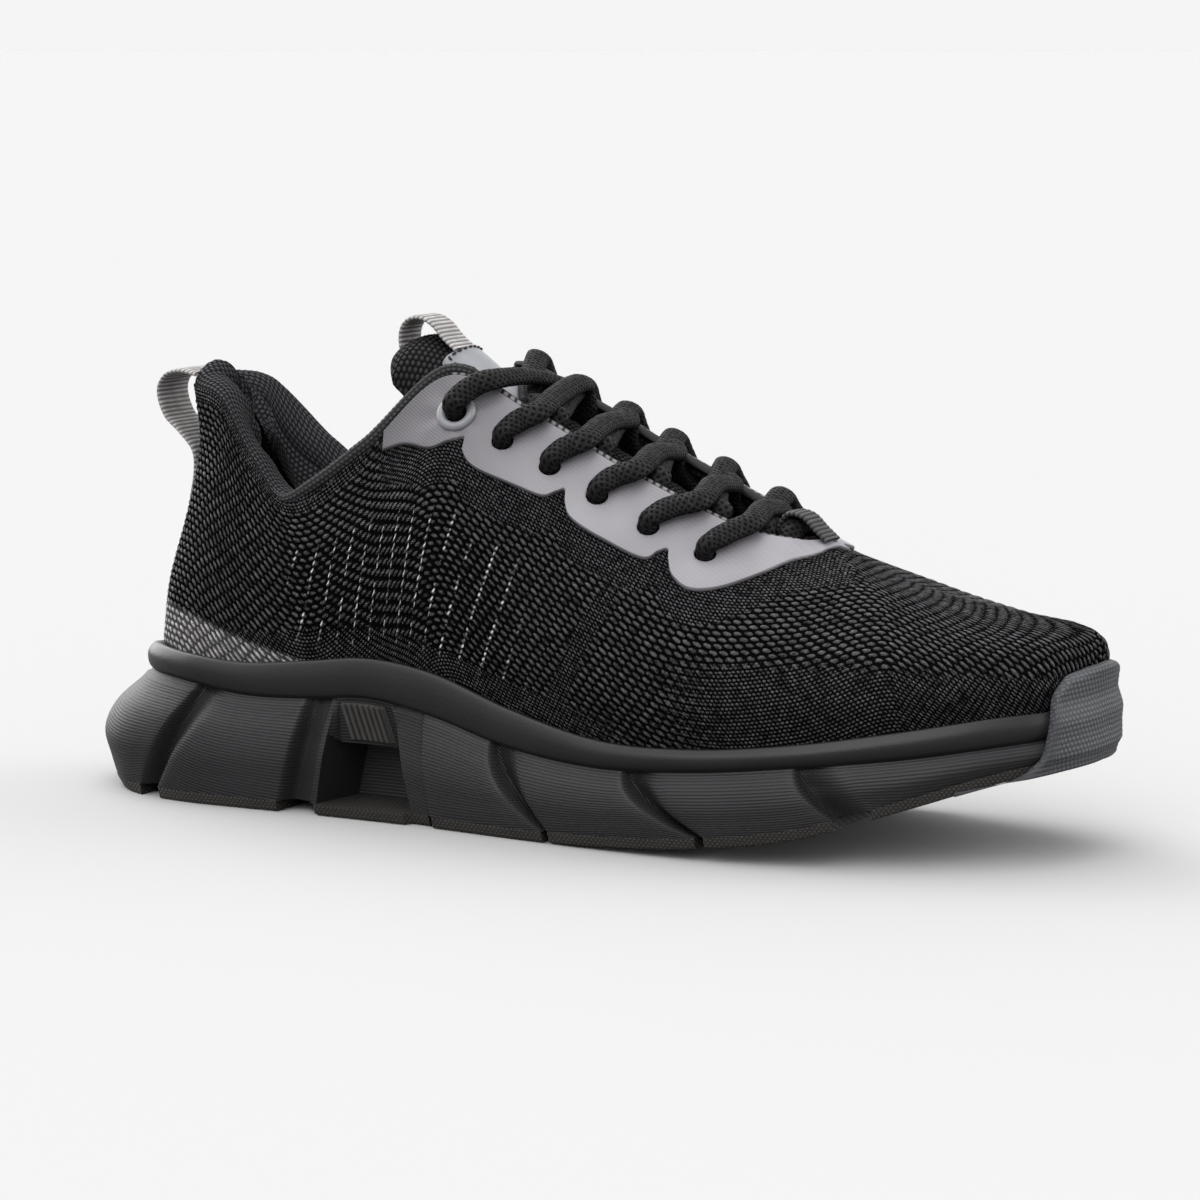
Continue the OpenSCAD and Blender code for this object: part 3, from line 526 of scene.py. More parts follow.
def wall(p, r, side):
    """Point on a foam wall: p along PODS, r from under the band (0) to the pads (1)."""
    p, r = np.broadcast_arrays(np.asarray(p, float), np.asarray(r, float))
    c = ease(PODS, p)
    i = np.floor(p)
    soft = mix(ease(PODS, i)[..., 2], ease(PODS, i + 1)[..., 2], step(0, 1, p - i))
    share = np.where((p > 7) & (p < 27.9), soft, 0)
    top, low = station_of(c[..., 0]), station_of(c[..., 1])
    band, pod, foot, zb, zg = station_values(top, low)
    outs = np.stack([band - 0.9, mix(band - 0.5, pod, 0.13), mix(band, pod, 0.72), pod,
                     mix(pod, foot, 0.35), mix(pod, foot, 0.6)], -1)
    knot = np.interp(r, WALL_F, np.arange(6))
    k = np.clip(np.floor(knot).astype(int), 0, 4)

    def pick(j):
        return np.take_along_axis(outs, np.clip(j, 0, 5)[..., None], -1)[..., 0]

    a = np.where(k > 0, pick(k - 1), 2 * pick(k) - pick(k + 1))
    d = np.where(k < 4, pick(k + 2), 2 * pick(k + 1) - pick(k))
    out = spline(a, pick(k), pick(k + 1), d, knot - k)
    z = mix(zb - 1, zg + PAD_T, r)
    out = out - share * GROOVE_D * mix(0.6, 1.05, step(0, 0.45, r))
    hollow = c[..., 3]
    deep = np.interp(r, [0, 0.33, 0.37, 0.8, 1], [0, 1, 2, 2, 2])
    panel = mix(band - 0.9, -2, np.minimum(deep, 1))
    cave = mix(panel, -HOLLOW_D, np.clip(deep - 1, 0, 1))
    cave_z = np.where(r < 0.33, mix(zb - 1, 20, r / 0.33),
                      np.where(r < 0.37, 20 - 1.5 * (r - 0.33) / 0.04,
                               mix(18.5, zg + PAD_T, (r - 0.37) / 0.63)))
    out = mix(out, cave, hollow)
    z = mix(z, cave_z, hollow)
    f = mix(r ** c[..., 4], r, hollow)
    u = mix(top, low, f)
    return sole_point(flip(u, side), out, z), share


def pod_places(first, last, spacing):
    """Places along PODS, closer where the foam steps in or out."""
    places = []
    for i in range(int(math.floor(first)), int(math.ceil(last))):
        gap = max(PODS[i + 1, 0] - PODS[i, 0], PODS[i + 1, 1] - PODS[i, 1])
        n = max(6, int(gap / spacing))
        places.extend(i + k / n for k in range(n))
    places = [p for p in places if first <= p < last]
    return np.array(places + [last])


def pod_crown(p):
    """How full a pod is: 1 in its middle and 0 at its ends."""
    spans = [(0, 7), (9, 10), (19, 20), (22, 23), (25, 26), (28, 36)]
    value = np.zeros_like(p)
    for a, b in spans:
        f = np.clip((p - a) / (b - a), 0, 1)
        value = np.maximum(value, np.where((p > a) & (p < b), 1 - (2 * f - 1) ** 6, 0))
    return value


def band_points(u0, side):
    """From the cup floor over the rim and round the band, for each column."""
    s, zr = sole_at(u0), rim(u0)[:, 2]
    band, zb = s[:, 3], s[:, 1]
    knots = [(-1.0 + 0 * band, s[:, 0]), (-0.6 + 0 * band, zr - 2), (0.35 + 0 * band, zr - 0.3),
             (0.5 * band + 0.3, zr + 0.1), (0.9 * band + 0.2, zr - 1.1),
             (band + 0.55, mix(zr, zb, 0.4)), (band + 0.6, mix(zr, zb, 0.72)),
             (band + 0.25, zb + 0.35), (band - 0.35, zb - 0.45), (band - 0.9, zb - 1)]
    outs, zs = (np.stack([k[i] for k in knots], 0) for i in (0, 1))
    fine = np.linspace(0, len(knots) - 1, BAND_ROWS + 1)[:-1]
    u = np.broadcast_to(flip(u0, side), (BAND_ROWS, len(u0)))
    return np.swapaxes(sole_point(u, along(outs, fine), along(zs, fine)), 0, 1)


def pod_points(p, r, side):
    """The pods and grooves below the band, with their crowns and fine lines."""
    body, share = wall(p[:, None], r[None, :], side)
    n = unit(np.cross(np.gradient(body, axis=0), np.gradient(body, axis=1)))
    n = n * np.sign(np.sum(n * (body - body.mean((0, 1))) * [0, 1, 0], -1, keepdims=True) + 1e-9)
    way_out = -1.0 if side == 0 else 1.0
    n = n * np.where(n[..., 1:2] * way_out < -0.2, -1, 1)
    height, full = run(body), pod_crown(p)[:, None]
    crown = full * np.sin(np.pi * np.clip(r, 0, 1))[None, :] * 0.5
    ribbed = (full > 0.02) * step(0.05, 0.12, r)[None, :] * step(1.0, 0.93, r)[None, :]
    ribs = (0.5 + 0.5 * np.cos(2 * np.pi * height / POD_LINES)) * 0.14 * ribbed
    return body + n * (crown + ribs)[..., None], height, share


BAND_ROWS = 33


def midsole():
    p = pod_places(0, 36, 1.15)
    r = np.linspace(0, 1, 112) ** 0.95
    halves, marks = [], []
    for side in (0, 1):
        top = band_points(station_of(ease(PODS, p)[:, 0]), side)
        body, height, share = pod_points(p, r, side)
        halves.append(np.concatenate([top, body], 1))
        mark = np.zeros(halves[-1].shape)
        below = np.stack([height, np.clip(share + 0 * r[None, :], 0, 1), 1 + 0 * height], -1)
        mark[:, BAND_ROWS:] = below
        marks.append(mark)
    sections = np.concatenate([halves[0], halves[1][:, ::-1]], 1)
    marks = np.concatenate([marks[0], marks[1][:, ::-1]], 1)
    return finish_piece(loft("midsole_foam", sections, attributes={"sole": marks}, smooth=35),
                        foam_material(), ["midsole"])


def foam_material():
    """Satin foam: grain on the band, fine lines on the pods, a weave in the grooves."""
    m = Shader("sole_foam", 0.5, 0.3)
    height, groove, walls = m.attribute("sole")[:3]
    cloudy = m.noise(14, 2)
    grain = m.noise(0.9, 4)
    plain = m.blend(cloudy, (0.0045, 0.0045, 0.0051), (0.0085, 0.0083, 0.0094))
    lined = m.lines(height, POD_LINES, 1.6)
    # Crests of the fine lines on the pods are painted lighter: painted highlight.
    on_pods = m.times(walls, m.minus(1.0, groove))
    lit = m.times(lined, m.times(on_pods, 0.8))
    colour = m.blend(lit, plain, (0.031, 0.031, 0.034))
    weave = hatch(m, 0.9)
    woven = m.times(groove, m.times(weave, 0.5))
    m.colour(m.blend(woven, colour, (0.03, 0.029, 0.028)))
    m.rough(m.plus(0.42, m.times(walls, 0.13)))
    m.bump(grain, 0.12, 0.5)
    m.bump(m.times(weave, groove), 0.2, 0.7)
    m.bump(m.times(lined, on_pods), 0.12, 0.6)
    return m.mat


def hatch(m, pitch):
    """Two sets of slanted ridges in x and z, as on a woven or stippled rubber."""
    x, y, z = m.parts(m.place())
    side = m.plus(x, m.times(y, 0.35))
    one = m.lines(m.plus(side, m.times(z, 0.8)), pitch)
    two = m.lines(m.minus(side, m.times(z, 0.8)), pitch)
    return m.times(one, two)


def rubber_material():
    m = Shader("sole_rubber", 0.62)
    weave = hatch(m, 1.3)
    cloudy = m.noise(9, 3)
    dark = m.blend(cloudy, (0.017, 0.016, 0.015), (0.030, 0.028, 0.026))
    m.colour(m.blend(m.times(weave, 0.7), dark, (0.058, 0.054, 0.05)))
    m.rough(m.ramp(cloudy, -1.2, 2.2))
    m.bump(weave, 0.25, 0.8)
    m.bump(m.noise(0.5), 0.06, 0.4)
    return m.mat


# Rounded side of a pad: share of the way to its foot, and height
PAD_EDGE = ((0.0, PAD_T + 0.02), (0.06, PAD_T - 0.35), (0.35, 1.9), (0.72, 0.8), (0.9, 0.2),
            (1.15, 0.0))


def pads():
    mat = rubber_material()
    for name, (first, last) in PADS.items():
        p = pod_places(first, last, 1.2)
        edges = []
        for side in (0, 1):
            c = ease(PODS, p)
            top, low = station_of(c[:, 0]), station_of(c[:, 1])
            share = np.where((p > 7) & (p < 27.9), c[:, 2], 0) * (c[:, 3] < 0.5)
            _, pod, foot, _, zg = station_values(top, low)
            u = flip(low, side)
            rows = []
            upper, under = mix(pod, foot, 0.6) - share * GROOVE_D, foot - share * GROOVE_D
            for f, z in PAD_EDGE:
                rows.append(sole_point(u, mix(upper + 0.15, under, f), zg + z))
            edges.append(np.stack(rows, 1))
        across = 72
        f = np.linspace(0, 1, across + 2)[1:-1]
        a, b = edges[0][:, -1:], edges[1][:, -1:]
        under = mix(a, b, f[None, :, None])
        width = np.linalg.norm(b - a, axis=-1)
        inset = np.minimum(f, 1 - f)[None] * width
        slant = np.abs(under[..., 1] * 0.55 - 3)
        zigzag = (under[..., 0] + slant) / 5.2 + 50
        cut = step(0.24, 0.38, np.abs(zigzag % 1 - 0.5))
        centre = step(3.2, 2.2, np.abs(under[..., 1] - 2))
        cut = np.maximum(cut, centre) * step(2.2, 3.2, inset)
        end = np.minimum(np.arange(len(p)), np.arange(len(p))[::-1])[:, None]
        cut = cut * (end > 1)
        under[..., 2] += cut * 1.3
        lid = mix(edges[0][:, :1], edges[1][:, :1], np.array([0.33, 0.67])[None, :, None])
        sections = np.concatenate([edges[0], under, edges[1][:, ::-1], lid[:, ::-1]], 1)
        finish_piece(loft(name + "_tread", sections, smooth=40), mat, [name])


def toe_out(u, z):
    """Distance out from the rim at a height, on the outside of the toe."""
    s, zr = sole_at(u), rim(u)[..., 2]
    t = np.array([0.08, 0.25, 0.45])
    p = skin(u[..., None], t)
    d = rim(u + 0.02) - rim(u - 0.02)
    n = unit(np.stack([d[..., 1], -d[..., 0], 0 * d[..., 0]], -1))
    high = np.sum((p - rim(u)[..., None, :]) * n[..., None, :], -1) + 0.3
    zs = np.stack([s[..., 2], s[..., 2] + PAD_T, mix(s[..., 1], s[..., 2], 0.58), s[..., 1],
                   mix(zr, s[..., 1], 0.45), zr - 0.3, p[..., 0, 2], p[..., 1, 2], p[..., 2, 2]], -1)
    outs = np.stack([s[..., 5] + 0.1, mix(s[..., 4], s[..., 5], 0.6) + 0.2, s[..., 4] + 0.2,
                     s[..., 3] + 0.3, s[..., 3] + 0.6, 0.5 * s[..., 3] + 0.7,
                     high[..., 0], high[..., 1], high[..., 2]], -1)
    return np.array([[np.interp(z[i, j], zs[i, j], outs[i, j]) for j in range(z.shape[1])]
                     for i in range(z.shape[0])])


BUMPER_TOP = np.array([[11.6, 20.4], [12.3, 22.5], [12.55, 24.5], [12.8, 29], [12.88, 37],
                       [12.96, 44.4], [13.2, 49.2], [13.6, 50.7], [14, 51.2]])


def toe_bumper():
    columns, rows, thick = 150, 56, 2.4
    j = np.linspace(-1, 1, 2 * columns + 1)
    k = mix(14, 11.6, np.abs(j) ** 1.2)
    u = np.where(j <= 0, k, STATIONS - k)
    top = smoothed(np.interp(k, BUMPER_TOP[:, 0], BUMPER_TOP[:, 1]), 14)
    low = sole_at(u)[:, 2]
    f = np.linspace(0, 1, rows + 1)
    z = mix(low[:, None], top[:, None], f[None, :])
    wide_u = np.broadcast_to(u[:, None], z.shape)
    out = smoothed(toe_out(wide_u, z), 3, axis=1)
    out = smoothed(out, 4)
    full = thick * np.interp(k, [11.6, 12.6], [0.3, 1])[:, None]
    place = np.arange(2 * columns + 1)[:, None]
    from_end = np.minimum(place, place[::-1]) * 0.5
    edge = np.minimum((top[:, None] - z), from_end + 0.3)
    edge = np.minimum(edge, (z - low[:, None]) + 1.2)
    far = out + 0.35 + full * (0.12 + 0.88 * rounding(edge, 1.8))
    s, h = spans(sole_point(wide_u, far, z))
    s = s - s[columns][None]
    dots = brick_height(s, h, *BUMPER_DOTS) * step(0.2, 1.2, edge)
    outer = sole_point(wide_u, far + 0.16 * dots, z)
    inner = sole_point(wide_u, out + 0.3, z)
    marks = np.stack([s, h, np.clip(edge / 1.5, 0, 1)], -1)
    piece = sheet("toe_bumper_rubber", outer[:, ::-1], inner[:, ::-1], marks[:, ::-1])
    finish_piece(piece, bumper_material(), ["toe_bumper"])


def bumper_material():
    m = Shader("bumper_rubber", 0.5)
    spots = m.bricks(*m.attribute("cloth")[:2], *BUMPER_DOTS)
    cloudy = m.noise(16, 2)
    base = m.blend(cloudy, (0.028, 0.029, 0.032), (0.048, 0.049, 0.054))
    m.colour(m.blend(m.times(spots, 0.6), base, (0.095, 0.097, 0.105)))
    m.rough(m.minus(0.6, m.times(spots, 0.12)))
    m.bump(spots, 0.2, 0.6)
    return m.mat


def arch_inserts():
    """Ribbed panel at the top of the arch hollow, on each side."""
    mat = Shader("arch_ribs", 0.55)
    mat.colour(mat.blend(mat.noise(4), (0.03, 0.029, 0.028), (0.055, 0.053, 0.05)))
    mat.bump(mat.noise(0.5), 0.05, 0.5)
    for side, name in enumerate(("arch_insert_outer", "arch_insert_inner")):
        x = np.linspace(96, 110.6, 230)
        f = np.linspace(0.1, 0.9, 30)
        u0 = station_of(x)
        s = sole_at(u0)
        wave = (x - 96.4) / (14.2 / 7.5) % 1
        rib = step(0.12, 0.28, wave) * step(0.95, 0.78, wave)
        inside = step(0, 0.5, x - 96) * step(0, 0.5, 110.6 - x)
        out = mix((s[:, 3] - 0.9)[:, None], -2, f[None])
        z = mix((s[:, 1] - 1)[:, None], 20, f[None])
        ends = step(0.1, 0.13, f) * step(0.9, 0.87, f)
        face = out + 0.35 + (0.5 + 1.3 * rib)[:, None] * inside[:, None] * ends[None]
        shear = (f[None] - 0.5) * 2.2
        u = flip(station_of(x[:, None] + shear), side)
        front, back = sole_point(u, face, z), sole_point(u, out + 0.2, z)
        piece = loft(name + "_ribs", np.concatenate([front[:, ::-1], back], 1), smooth=40)
        finish_piece(piece, mat.mat, [name])


# ---- knit ----
KNIT_ROWS = 200
# Pitch along, pitch up and slant of the knit bumps
COARSE, FINE = (2.9, 1.9, 0.35), (1.25, 1.05, 0.2)
# Height of the knit along its skin, at stations 0 to 14
KNIT_SIZE = [78, 76, 72, 58, 46, 56, 82, 82, 78, 68, 58, 50, 42, 34, 24]
# Top of the grey heel patch: x and height
GREY_TOP = np.array([[10, 57], [24, 56], [36, 53], [46, 51.5], [57, 48], [68, 45], [81, 42], [86, 38]])


def lower_edge_t(u):
    """Height of the eyestay's lower edge at a station, 1 where there is no eyestay."""
    f = fold(u)
    order = np.argsort(EYESTAY_EDGE[:, 1])
    return np.interp(f, EYESTAY_EDGE[order, 1], EYESTAY_EDGE[order, 2], left=1, right=1)


def knit_zones(u, t, points):
    """How coarse the knit is, where its light dashes are, and where it is grey."""
    f = fold(u)
    size = np.interp(f, np.arange(15), KNIT_SIZE)
    below = (lower_edge_t(u) - t) * size
    under_stay = step(11, 7, below) * step(4.9, 5.6, f) * step(11.4, 10.4, f)
    above_rim = t * size
    low = step(12, 7, above_rim) * step(9, 7, f)
    side_toe = step(8.2, 9.8, f) * step(0.50, 0.34, t + 0.12 * step(10, 13, f))
    topline = step(6, 3, (1 - t) * size) * step(5.4, 4.6, f)
    arch = step(0.16, 0.06, np.abs(f - 7.9 - 1.3 * (t - 0.4))) * step(0.75, 0.5, t) * 0.8
    fine = np.clip(np.max([under_stay, low, side_toe, topline, arch], 0), 0, 1)
    dashes = step(3.6, 4.1, f) * step(7.3, 6.8, f) * step(0.05, 0.16, t)
    dashes = dashes * step(0.78, 0.64, t + 0.03 * (f - 5)) * step(14, 17, below)
    grey = step(1.0, -1.0, points[..., 2] - np.interp(points[..., 0], GREY_TOP[:, 0], GREY_TOP[:, 1]))
    grey = grey * (points[..., 0] < 86)
    return np.stack([np.maximum(1 - fine, grey), dashes * (1 - grey), grey], -1)


def knit_relief(cloth, zones):
    coarse = brick_height(cloth[..., 0], cloth[..., 1], *COARSE)
    fine = brick_height(cloth[..., 0], cloth[..., 1], *FINE)
    grooves = groove_lines(cloth) * (1 - zones[..., 0]) * cloth[..., 2]
    return 0.36 * coarse * zones[..., 0] + 0.16 * fine * (1 - zones[..., 0]) - 0.35 * grooves


def groove_lines(cloth):
    """Slanted grooves across the fine knit beside the toes."""
    phase = ((cloth[..., 0] + 1.25 * cloth[..., 1]) / 11.5 + 50) % 1
    return np.exp(-((phase - 0.5) / 0.05) ** 2)


def knit_strip(u):
    """Outer and inner points of a strip of the knit, each from its hem up, and its marks."""
    grid_u, grid_t = grid(u, np.linspace(0, 1, KNIT_ROWS))
    base, n = skin(grid_u, grid_t), normal(grid_u, grid_t)
    along_rows, heights = spans(base)
    start = np.argmin(np.abs(fold(u) - THROAT))
    along_rows = along_rows - along_rows[start][None]
    if fold(u)[0] < fold(u)[-1]:
        along_rows = -along_rows
    heights = heights[:, -1:] - heights
    cloth = np.stack([along_rows, heights, step(8.6, 9.6, fold(grid_u))], -1)
    zones = knit_zones(grid_u, grid_t, base)
    relief = knit_relief(cloth, zones) * step(0, 0.03, grid_t) + 0.05
    low = rim(u)[:, 2]
    hem = [sole_point(u, -1.2 + 0 * u, low - 5), sole_point(u, -0.5 + 0 * u, low - 1.5)]
    outer = np.concatenate([np.stack(hem, 1), base + n * relief[..., None]], 1)
    hem_in = sole_point(u, -2.9 + 0 * u, low - 5)[:, None]
    inner = np.concatenate([hem_in, layer(*grid(u, np.linspace(0, 1, 14)), -1.4)], 1)
    marks = [np.concatenate([np.repeat(v[:, :1], len(hem), 1), v], 1) for v in (cloth, zones)]
    return outer, inner, marks


def knit_panel(name, u, mat):
    """A closed strip of the knit: outer face, top edge and a coarse inner face."""
    outer, inner, marks = knit_strip(u)
    sections = np.concatenate([outer, inner[:, ::-1]], 1)
    attributes = {key: np.concatenate([v, np.repeat(v[:, -1:], inner.shape[1], 1)], 1)
                  for key, v in zip(("cloth", "zones"), marks)}
    finish_piece(loft(name, sections, attributes=attributes), mat, ["knit_upper"])


def knit_material():
    m = Shader("knit", 0.62)
    s, h = m.attribute("cloth")[:2]
    coarse, dash, grey = m.attribute("zones")[:3]
    big = m.bricks(s, h, *COARSE)
    small = m.bricks(s, h, *FINE)
    bumps = m.node("ShaderNodeMix", coarse, None, small, big, data_type="FLOAT").outputs[0]
    twist = m.lines(m.plus(m.times(s, 0.9), h), 0.62)
    loose = m.noise(2.2, 3)
    gaps = m.plus(0.22, m.times(dash, 0.12))
    fuzz = m.noise(0.55, 3)
    # Bump tops are painted light and the gaps between the bumps near black: painted highlight on the yarn
    # and painted shade in the gaps, in the black knit and in the grey heel patch.
    yarn = m.ramp(m.minus(m.times(bumps, m.ramp(fuzz, 0.1, 0.6)), gaps), 0.0, 0.4)
    painted_yarn_highlight = m.times(yarn, m.ramp(loose, 0.1, 0.75))
    black = m.blend(painted_yarn_highlight, (0.002, 0.002, 0.0022), (0.026, 0.026, 0.028))
    # Streaks along the yarn twist on the bump tops are painted lighter still: painted highlight.
    lit = m.times(m.times(twist, yarn), m.ramp(loose, 0.3, 0.8))
    black = m.blend(lit, black, (0.10, 0.10, 0.105))
    light = m.blend(painted_yarn_highlight, (0.045, 0.043, 0.043), (0.40, 0.39, 0.39))
    colour = m.blend(grey, black, light)
    slanted = m.minus(m.times(s, 1 / 7.4), m.times(h, 0.067))
    across = m.minus(m.math("FRACT", m.plus(slanted, 50.0)), 0.5)
    thread = m.ramp(m.math("ABSOLUTE", across), 0.05, 0.02)
    broken = m.ramp(m.noise(3.1, 2), 0.42, 0.6)
    stitch = m.lines(h, 1.9, 1.5)
    marks = m.times(m.times(thread, broken), m.times(dash, stitch))
    m.colour(m.blend(m.math("MINIMUM", m.times(marks, 1.6), 1.0), colour, (0.42, 0.42, 0.43)))
    m.rough(m.minus(0.75, m.times(painted_yarn_highlight, 0.3)))
    m.shine(m.times(painted_yarn_highlight, 0.35))
    m.bump(bumps, 0.4, 0.9)
    m.bump(twist, 0.12, 0.8)
    m.bump(fuzz, 0.15, 0.7)
    return m.mat


def knit_upper():
    mat = knit_material()
    knit_panel("knit_quarter_outer", np.linspace(0, THROAT, 470), mat)
    knit_panel("knit_quarter_inner", np.linspace(STATIONS, STATIONS - THROAT, 470), mat)
    knit_forefoot(mat)


def knit_forefoot(mat):
    """The closed front of the upper, from the outer rim over the ridge to the inner rim."""
    k = np.concatenate([np.linspace(THROAT, 13.9, 170), [13.94, 13.97, 13.985, 13.995]])
    a, b = (knit_strip(flip(k, side)) for side in (0, 1))
    sections = np.concatenate([a[0], b[0][:, -2::-1], b[1], a[1][:, -2::-1]], 1)
    inside = b[1].shape[1] + a[1].shape[1] - 1
    attributes = {}
    for key, one, two in zip(("cloth", "zones"), a[2], b[2]):
        outside = np.concatenate([one, two[:, -2::-1]], 1)
        attributes[key] = np.concatenate([outside, np.repeat(outside[:, :1], inside, 1)], 1)
    piece = loft("knit_forefoot", sections, attributes=attributes)
    finish_piece(piece, mat, ["knit_upper"])


# ---- collar and linings ----
def collar_reach(u):
    """1 along the padded collar, fading to 0 where the eyestay begins."""
    return step(5.3, 3.9, fold(u))


def collar():
    """The padded collar: a roll over the topline and the lining down to the insole."""
    u = np.linspace(-5.6, 5.6, 300)
    reach = collar_reach(u)
    radius = 1.4 + 5.0 * reach
    puff = 6.0 + 5.0 * step(-0.2, -1.4, u)
    e, n = skin(u, 1.0 + 0 * u), normal(u, 0.97 + 0 * u)
    way = unit(e - skin(u, 0.95 + 0 * u))
    turn = np.linspace(-0.5, math.pi, 26)
    centre = e - n * radius[:, None] - way * (0.4 * (radius - 1.4))[:, None]
    roll = (centre[:, None] + n[:, None] * (np.cos(turn)[None] * radius[:, None])[..., None]
            + way[:, None] * (np.sin(turn)[None] * radius[:, None])[..., None])
    t = np.linspace(0.985, 0.04, 120)
    pad = np.sin(np.pi * np.clip((t - 0.56) / 0.42, 0, 1)) ** 0.8
    seam = np.exp(-((t - 0.60) / 0.012) ** 2)
    depth = np.maximum(2 * radius[:, None] * step(0.5, 0.98, t)[None], 3.4)
    depth = depth + puff[:, None] * pad[None] * reach[:, None]
    depth = depth - 0.8 * seam[None] * reach[:, None]
    folds = wavy(skin(u[:, None], t[None]), 16.0) * 0.6 * reach[:, None]
    inside = layer(*grid(u, t), -depth - folds * pad[None])
    face = np.concatenate([roll, inside], 1)
    s, h = spans(face)
    s = s - s[150][None]
    mesh = brick_height(s, h, *LINING_MESH) * 0.2
    nn = unit(np.cross(np.gradient(face, axis=0), np.gradient(face, axis=1)))
    inward = np.sum(nn * (np.array([60, 0, 80.0]) - face), -1, keepdims=True)
    nn = nn * np.where(inward < 0, -1, 1)
    nn[:, :18] = unit(face[:, :18] - centre[:, None])
    face = face + nn * mesh[..., None]
    back_t = np.concatenate([np.full(26, 0.99), t])
    back = layer(*grid(u, back_t), -1.75)
    marks = np.stack([s, h, step(30, 18, np.arange(face.shape[1]))[None] + 0 * h], -1)
    m = lining_material("collar_mesh", (0.0085, 0.0085, 0.0095), (0.052, 0.052, 0.056))
    piece = sheet("collar_padding", face, back, marks)
    finish_piece(piece, m, ["collar_lining"])


def lining_material(name, dark, light, pitch=LINING_MESH):
    m = Shader(name, 0.7)
    s, h, _ = m.attribute("cloth")[:3]
    cells = m.bricks(s, h, *pitch)
    thread = m.noise(0.35, 3)
    m.colour(m.blend(m.times(cells, m.ramp(thread, 0.15, 0.8)), dark, light))
    m.rough(m.minus(0.85, m.times(cells, 0.2)))
    m.shine(m.times(cells, 0.15))
    m.bump(cells, 0.3, 0.8)
    m.bump(thread, 0.08, 0.5)
    return m.mat


def vamp_lining():
    """Thin lining under the vamp, with its front closed under the ridge."""
    mat = lining_material("vamp_mesh", (0.006, 0.006, 0.007), (0.03, 0.03, 0.033))
    for side, name in enumerate(("vamp_lining_outer", "vamp_lining_inner")):
        k = np.linspace(4.9, 13.98, 190)
        u = flip(k, side)
        t = np.linspace(0.03, 1, 60)
        top = np.interp(k, [9.9, 10.67, 11], [0.99, 0.99, 1])
        grid_t = t[None] * top[:, None]
        wide_u = u[:, None] + 0 * grid_t
        depth = 2.9 + 0.4 * step(5.4, 4.9, k[:, None] + 0 * grid_t)
        face, back = layer(wide_u, grid_t, -depth), layer(wide_u, grid_t, -1.6)
        s, h = spans(face)
        piece = sheet(name, face, back, np.stack([s, h, 0 * h], -1))
        finish_piece(piece, mat, ["vamp_lining"])


def topline_binding():
    """Knit roll from the collar's dip up round the top of the eyestay."""
    m = Shader("binding", 0.75)
    s, h = m.attribute("cloth")[:2]
    ribs = m.bricks(s, h, *BINDING_KNIT)
    m.colour(m.blend(ribs, (0.004, 0.004, 0.0045), (0.03, 0.03, 0.033)))
    m.bump(ribs, 0.25, 0.8)
    for side, name in enumerate(("topline_binding_outer", "topline_binding_inner")):
        last = (6.35, 5.6)[side]
        k = np.linspace(3.5, last, 260)
        u = flip(k, side)
        e = skin(u, 1 + 0 * u)
        way, n = unit(e - skin(u, 0.97 + 0 * u)), normal(u, 0.97 + 0 * u)
        swell = step(3.5, 4.4, k) * mix(1, 0.8, step(5.9, 6.35, k))
        centre = e + way * (mix(-0.6, 1.9, swell))[:, None] - n * mix(1.4, 0.7, swell)[:, None]
        d = (2.2 + 1.7 * swell) * np.sqrt(np.clip((last + 0.01 - k) / (0.12, 0.5)[side], 0.02, 1))
        sections = tube_sections(centre, n, d, d * 1.08, 28)
        s, h = grid(run(centre), np.arange(28) / 28 * math.pi * 3.9)
        cloth = np.stack([s, h, 0 * s], -1)
        push = brick_height(s, h, *BINDING_KNIT) * 0.14
        sections = sections + unit(sections - centre[:, None]) * push[..., None]
        piece = loft(name, sections, attributes={"cloth": cloth})
        finish_piece(piece, m.mat, ["topline_binding"])


# ---- eyestay ----
def eyestay_place(w, v):
    """Station and height on the eyestay: w along its edge list, v from the edge to the throat."""
    e = along(EYESTAY_EDGE, w)
    f = np.minimum(e[..., 0], THROAT)
    u, t = mix(np.minimum(e[..., 1], 11.15), f, v), mix(np.minimum(e[..., 2], 1), 1, v)
    return u, t


def eyestay():
    half = np.linspace(0, len(EYESTAY_EDGE) - 1, 330)
    w = np.concatenate([half, half[-2::-1]])
    inner_side = np.arange(len(w)) >= len(half)
    v = np.linspace(0, 1, 46)
    u, t = eyestay_place(w[:, None], v[None])
    u = np.where(inner_side[:, None], STATIONS - u, u)
    base = skin(u, t)
    s, h = spans(base)
    width = np.maximum(h[:, -1:], 0.2)
    edge = np.minimum(h, width - h)
    tips = np.minimum(np.arange(len(w)), np.arange(len(w))[::-1])[:, None] * 0.45
    edge = np.minimum(edge, tips)
    ring = skin(*TOP_HOLE)
    far = np.linalg.norm(base - ring, axis=-1)
    pucker = np.sin(np.arctan2(base[..., 2] - ring[2], base[..., 0] - ring[0]) * 7)
    pucker = pucker * 0.16 * step(3.5, 6, far) * step(15, 7, far)
    out = 0.42 + 0.75 * rounding(edge, 0.7) + pucker + 0.12 * wavy(base, 9.0)
    n = normal(u, t)
    outer, under = base + n * out[..., None], base + n * 0.3
    marks = np.stack([s - s[330][None], h, np.clip(edge / 2.2, 0, 1)], -1)
    piece = sheet("eyestay_film", outer, under, marks, smooth=50)
    core = Shader("film_cut_edge", 0.5)
    core.colour(core.blend(core.noise(1.5), (0.28, 0.27, 0.28), (0.5, 0.49, 0.5)))
    finish_piece(piece, film_material(), ["eyestay"])
    punch(piece, core.mat)


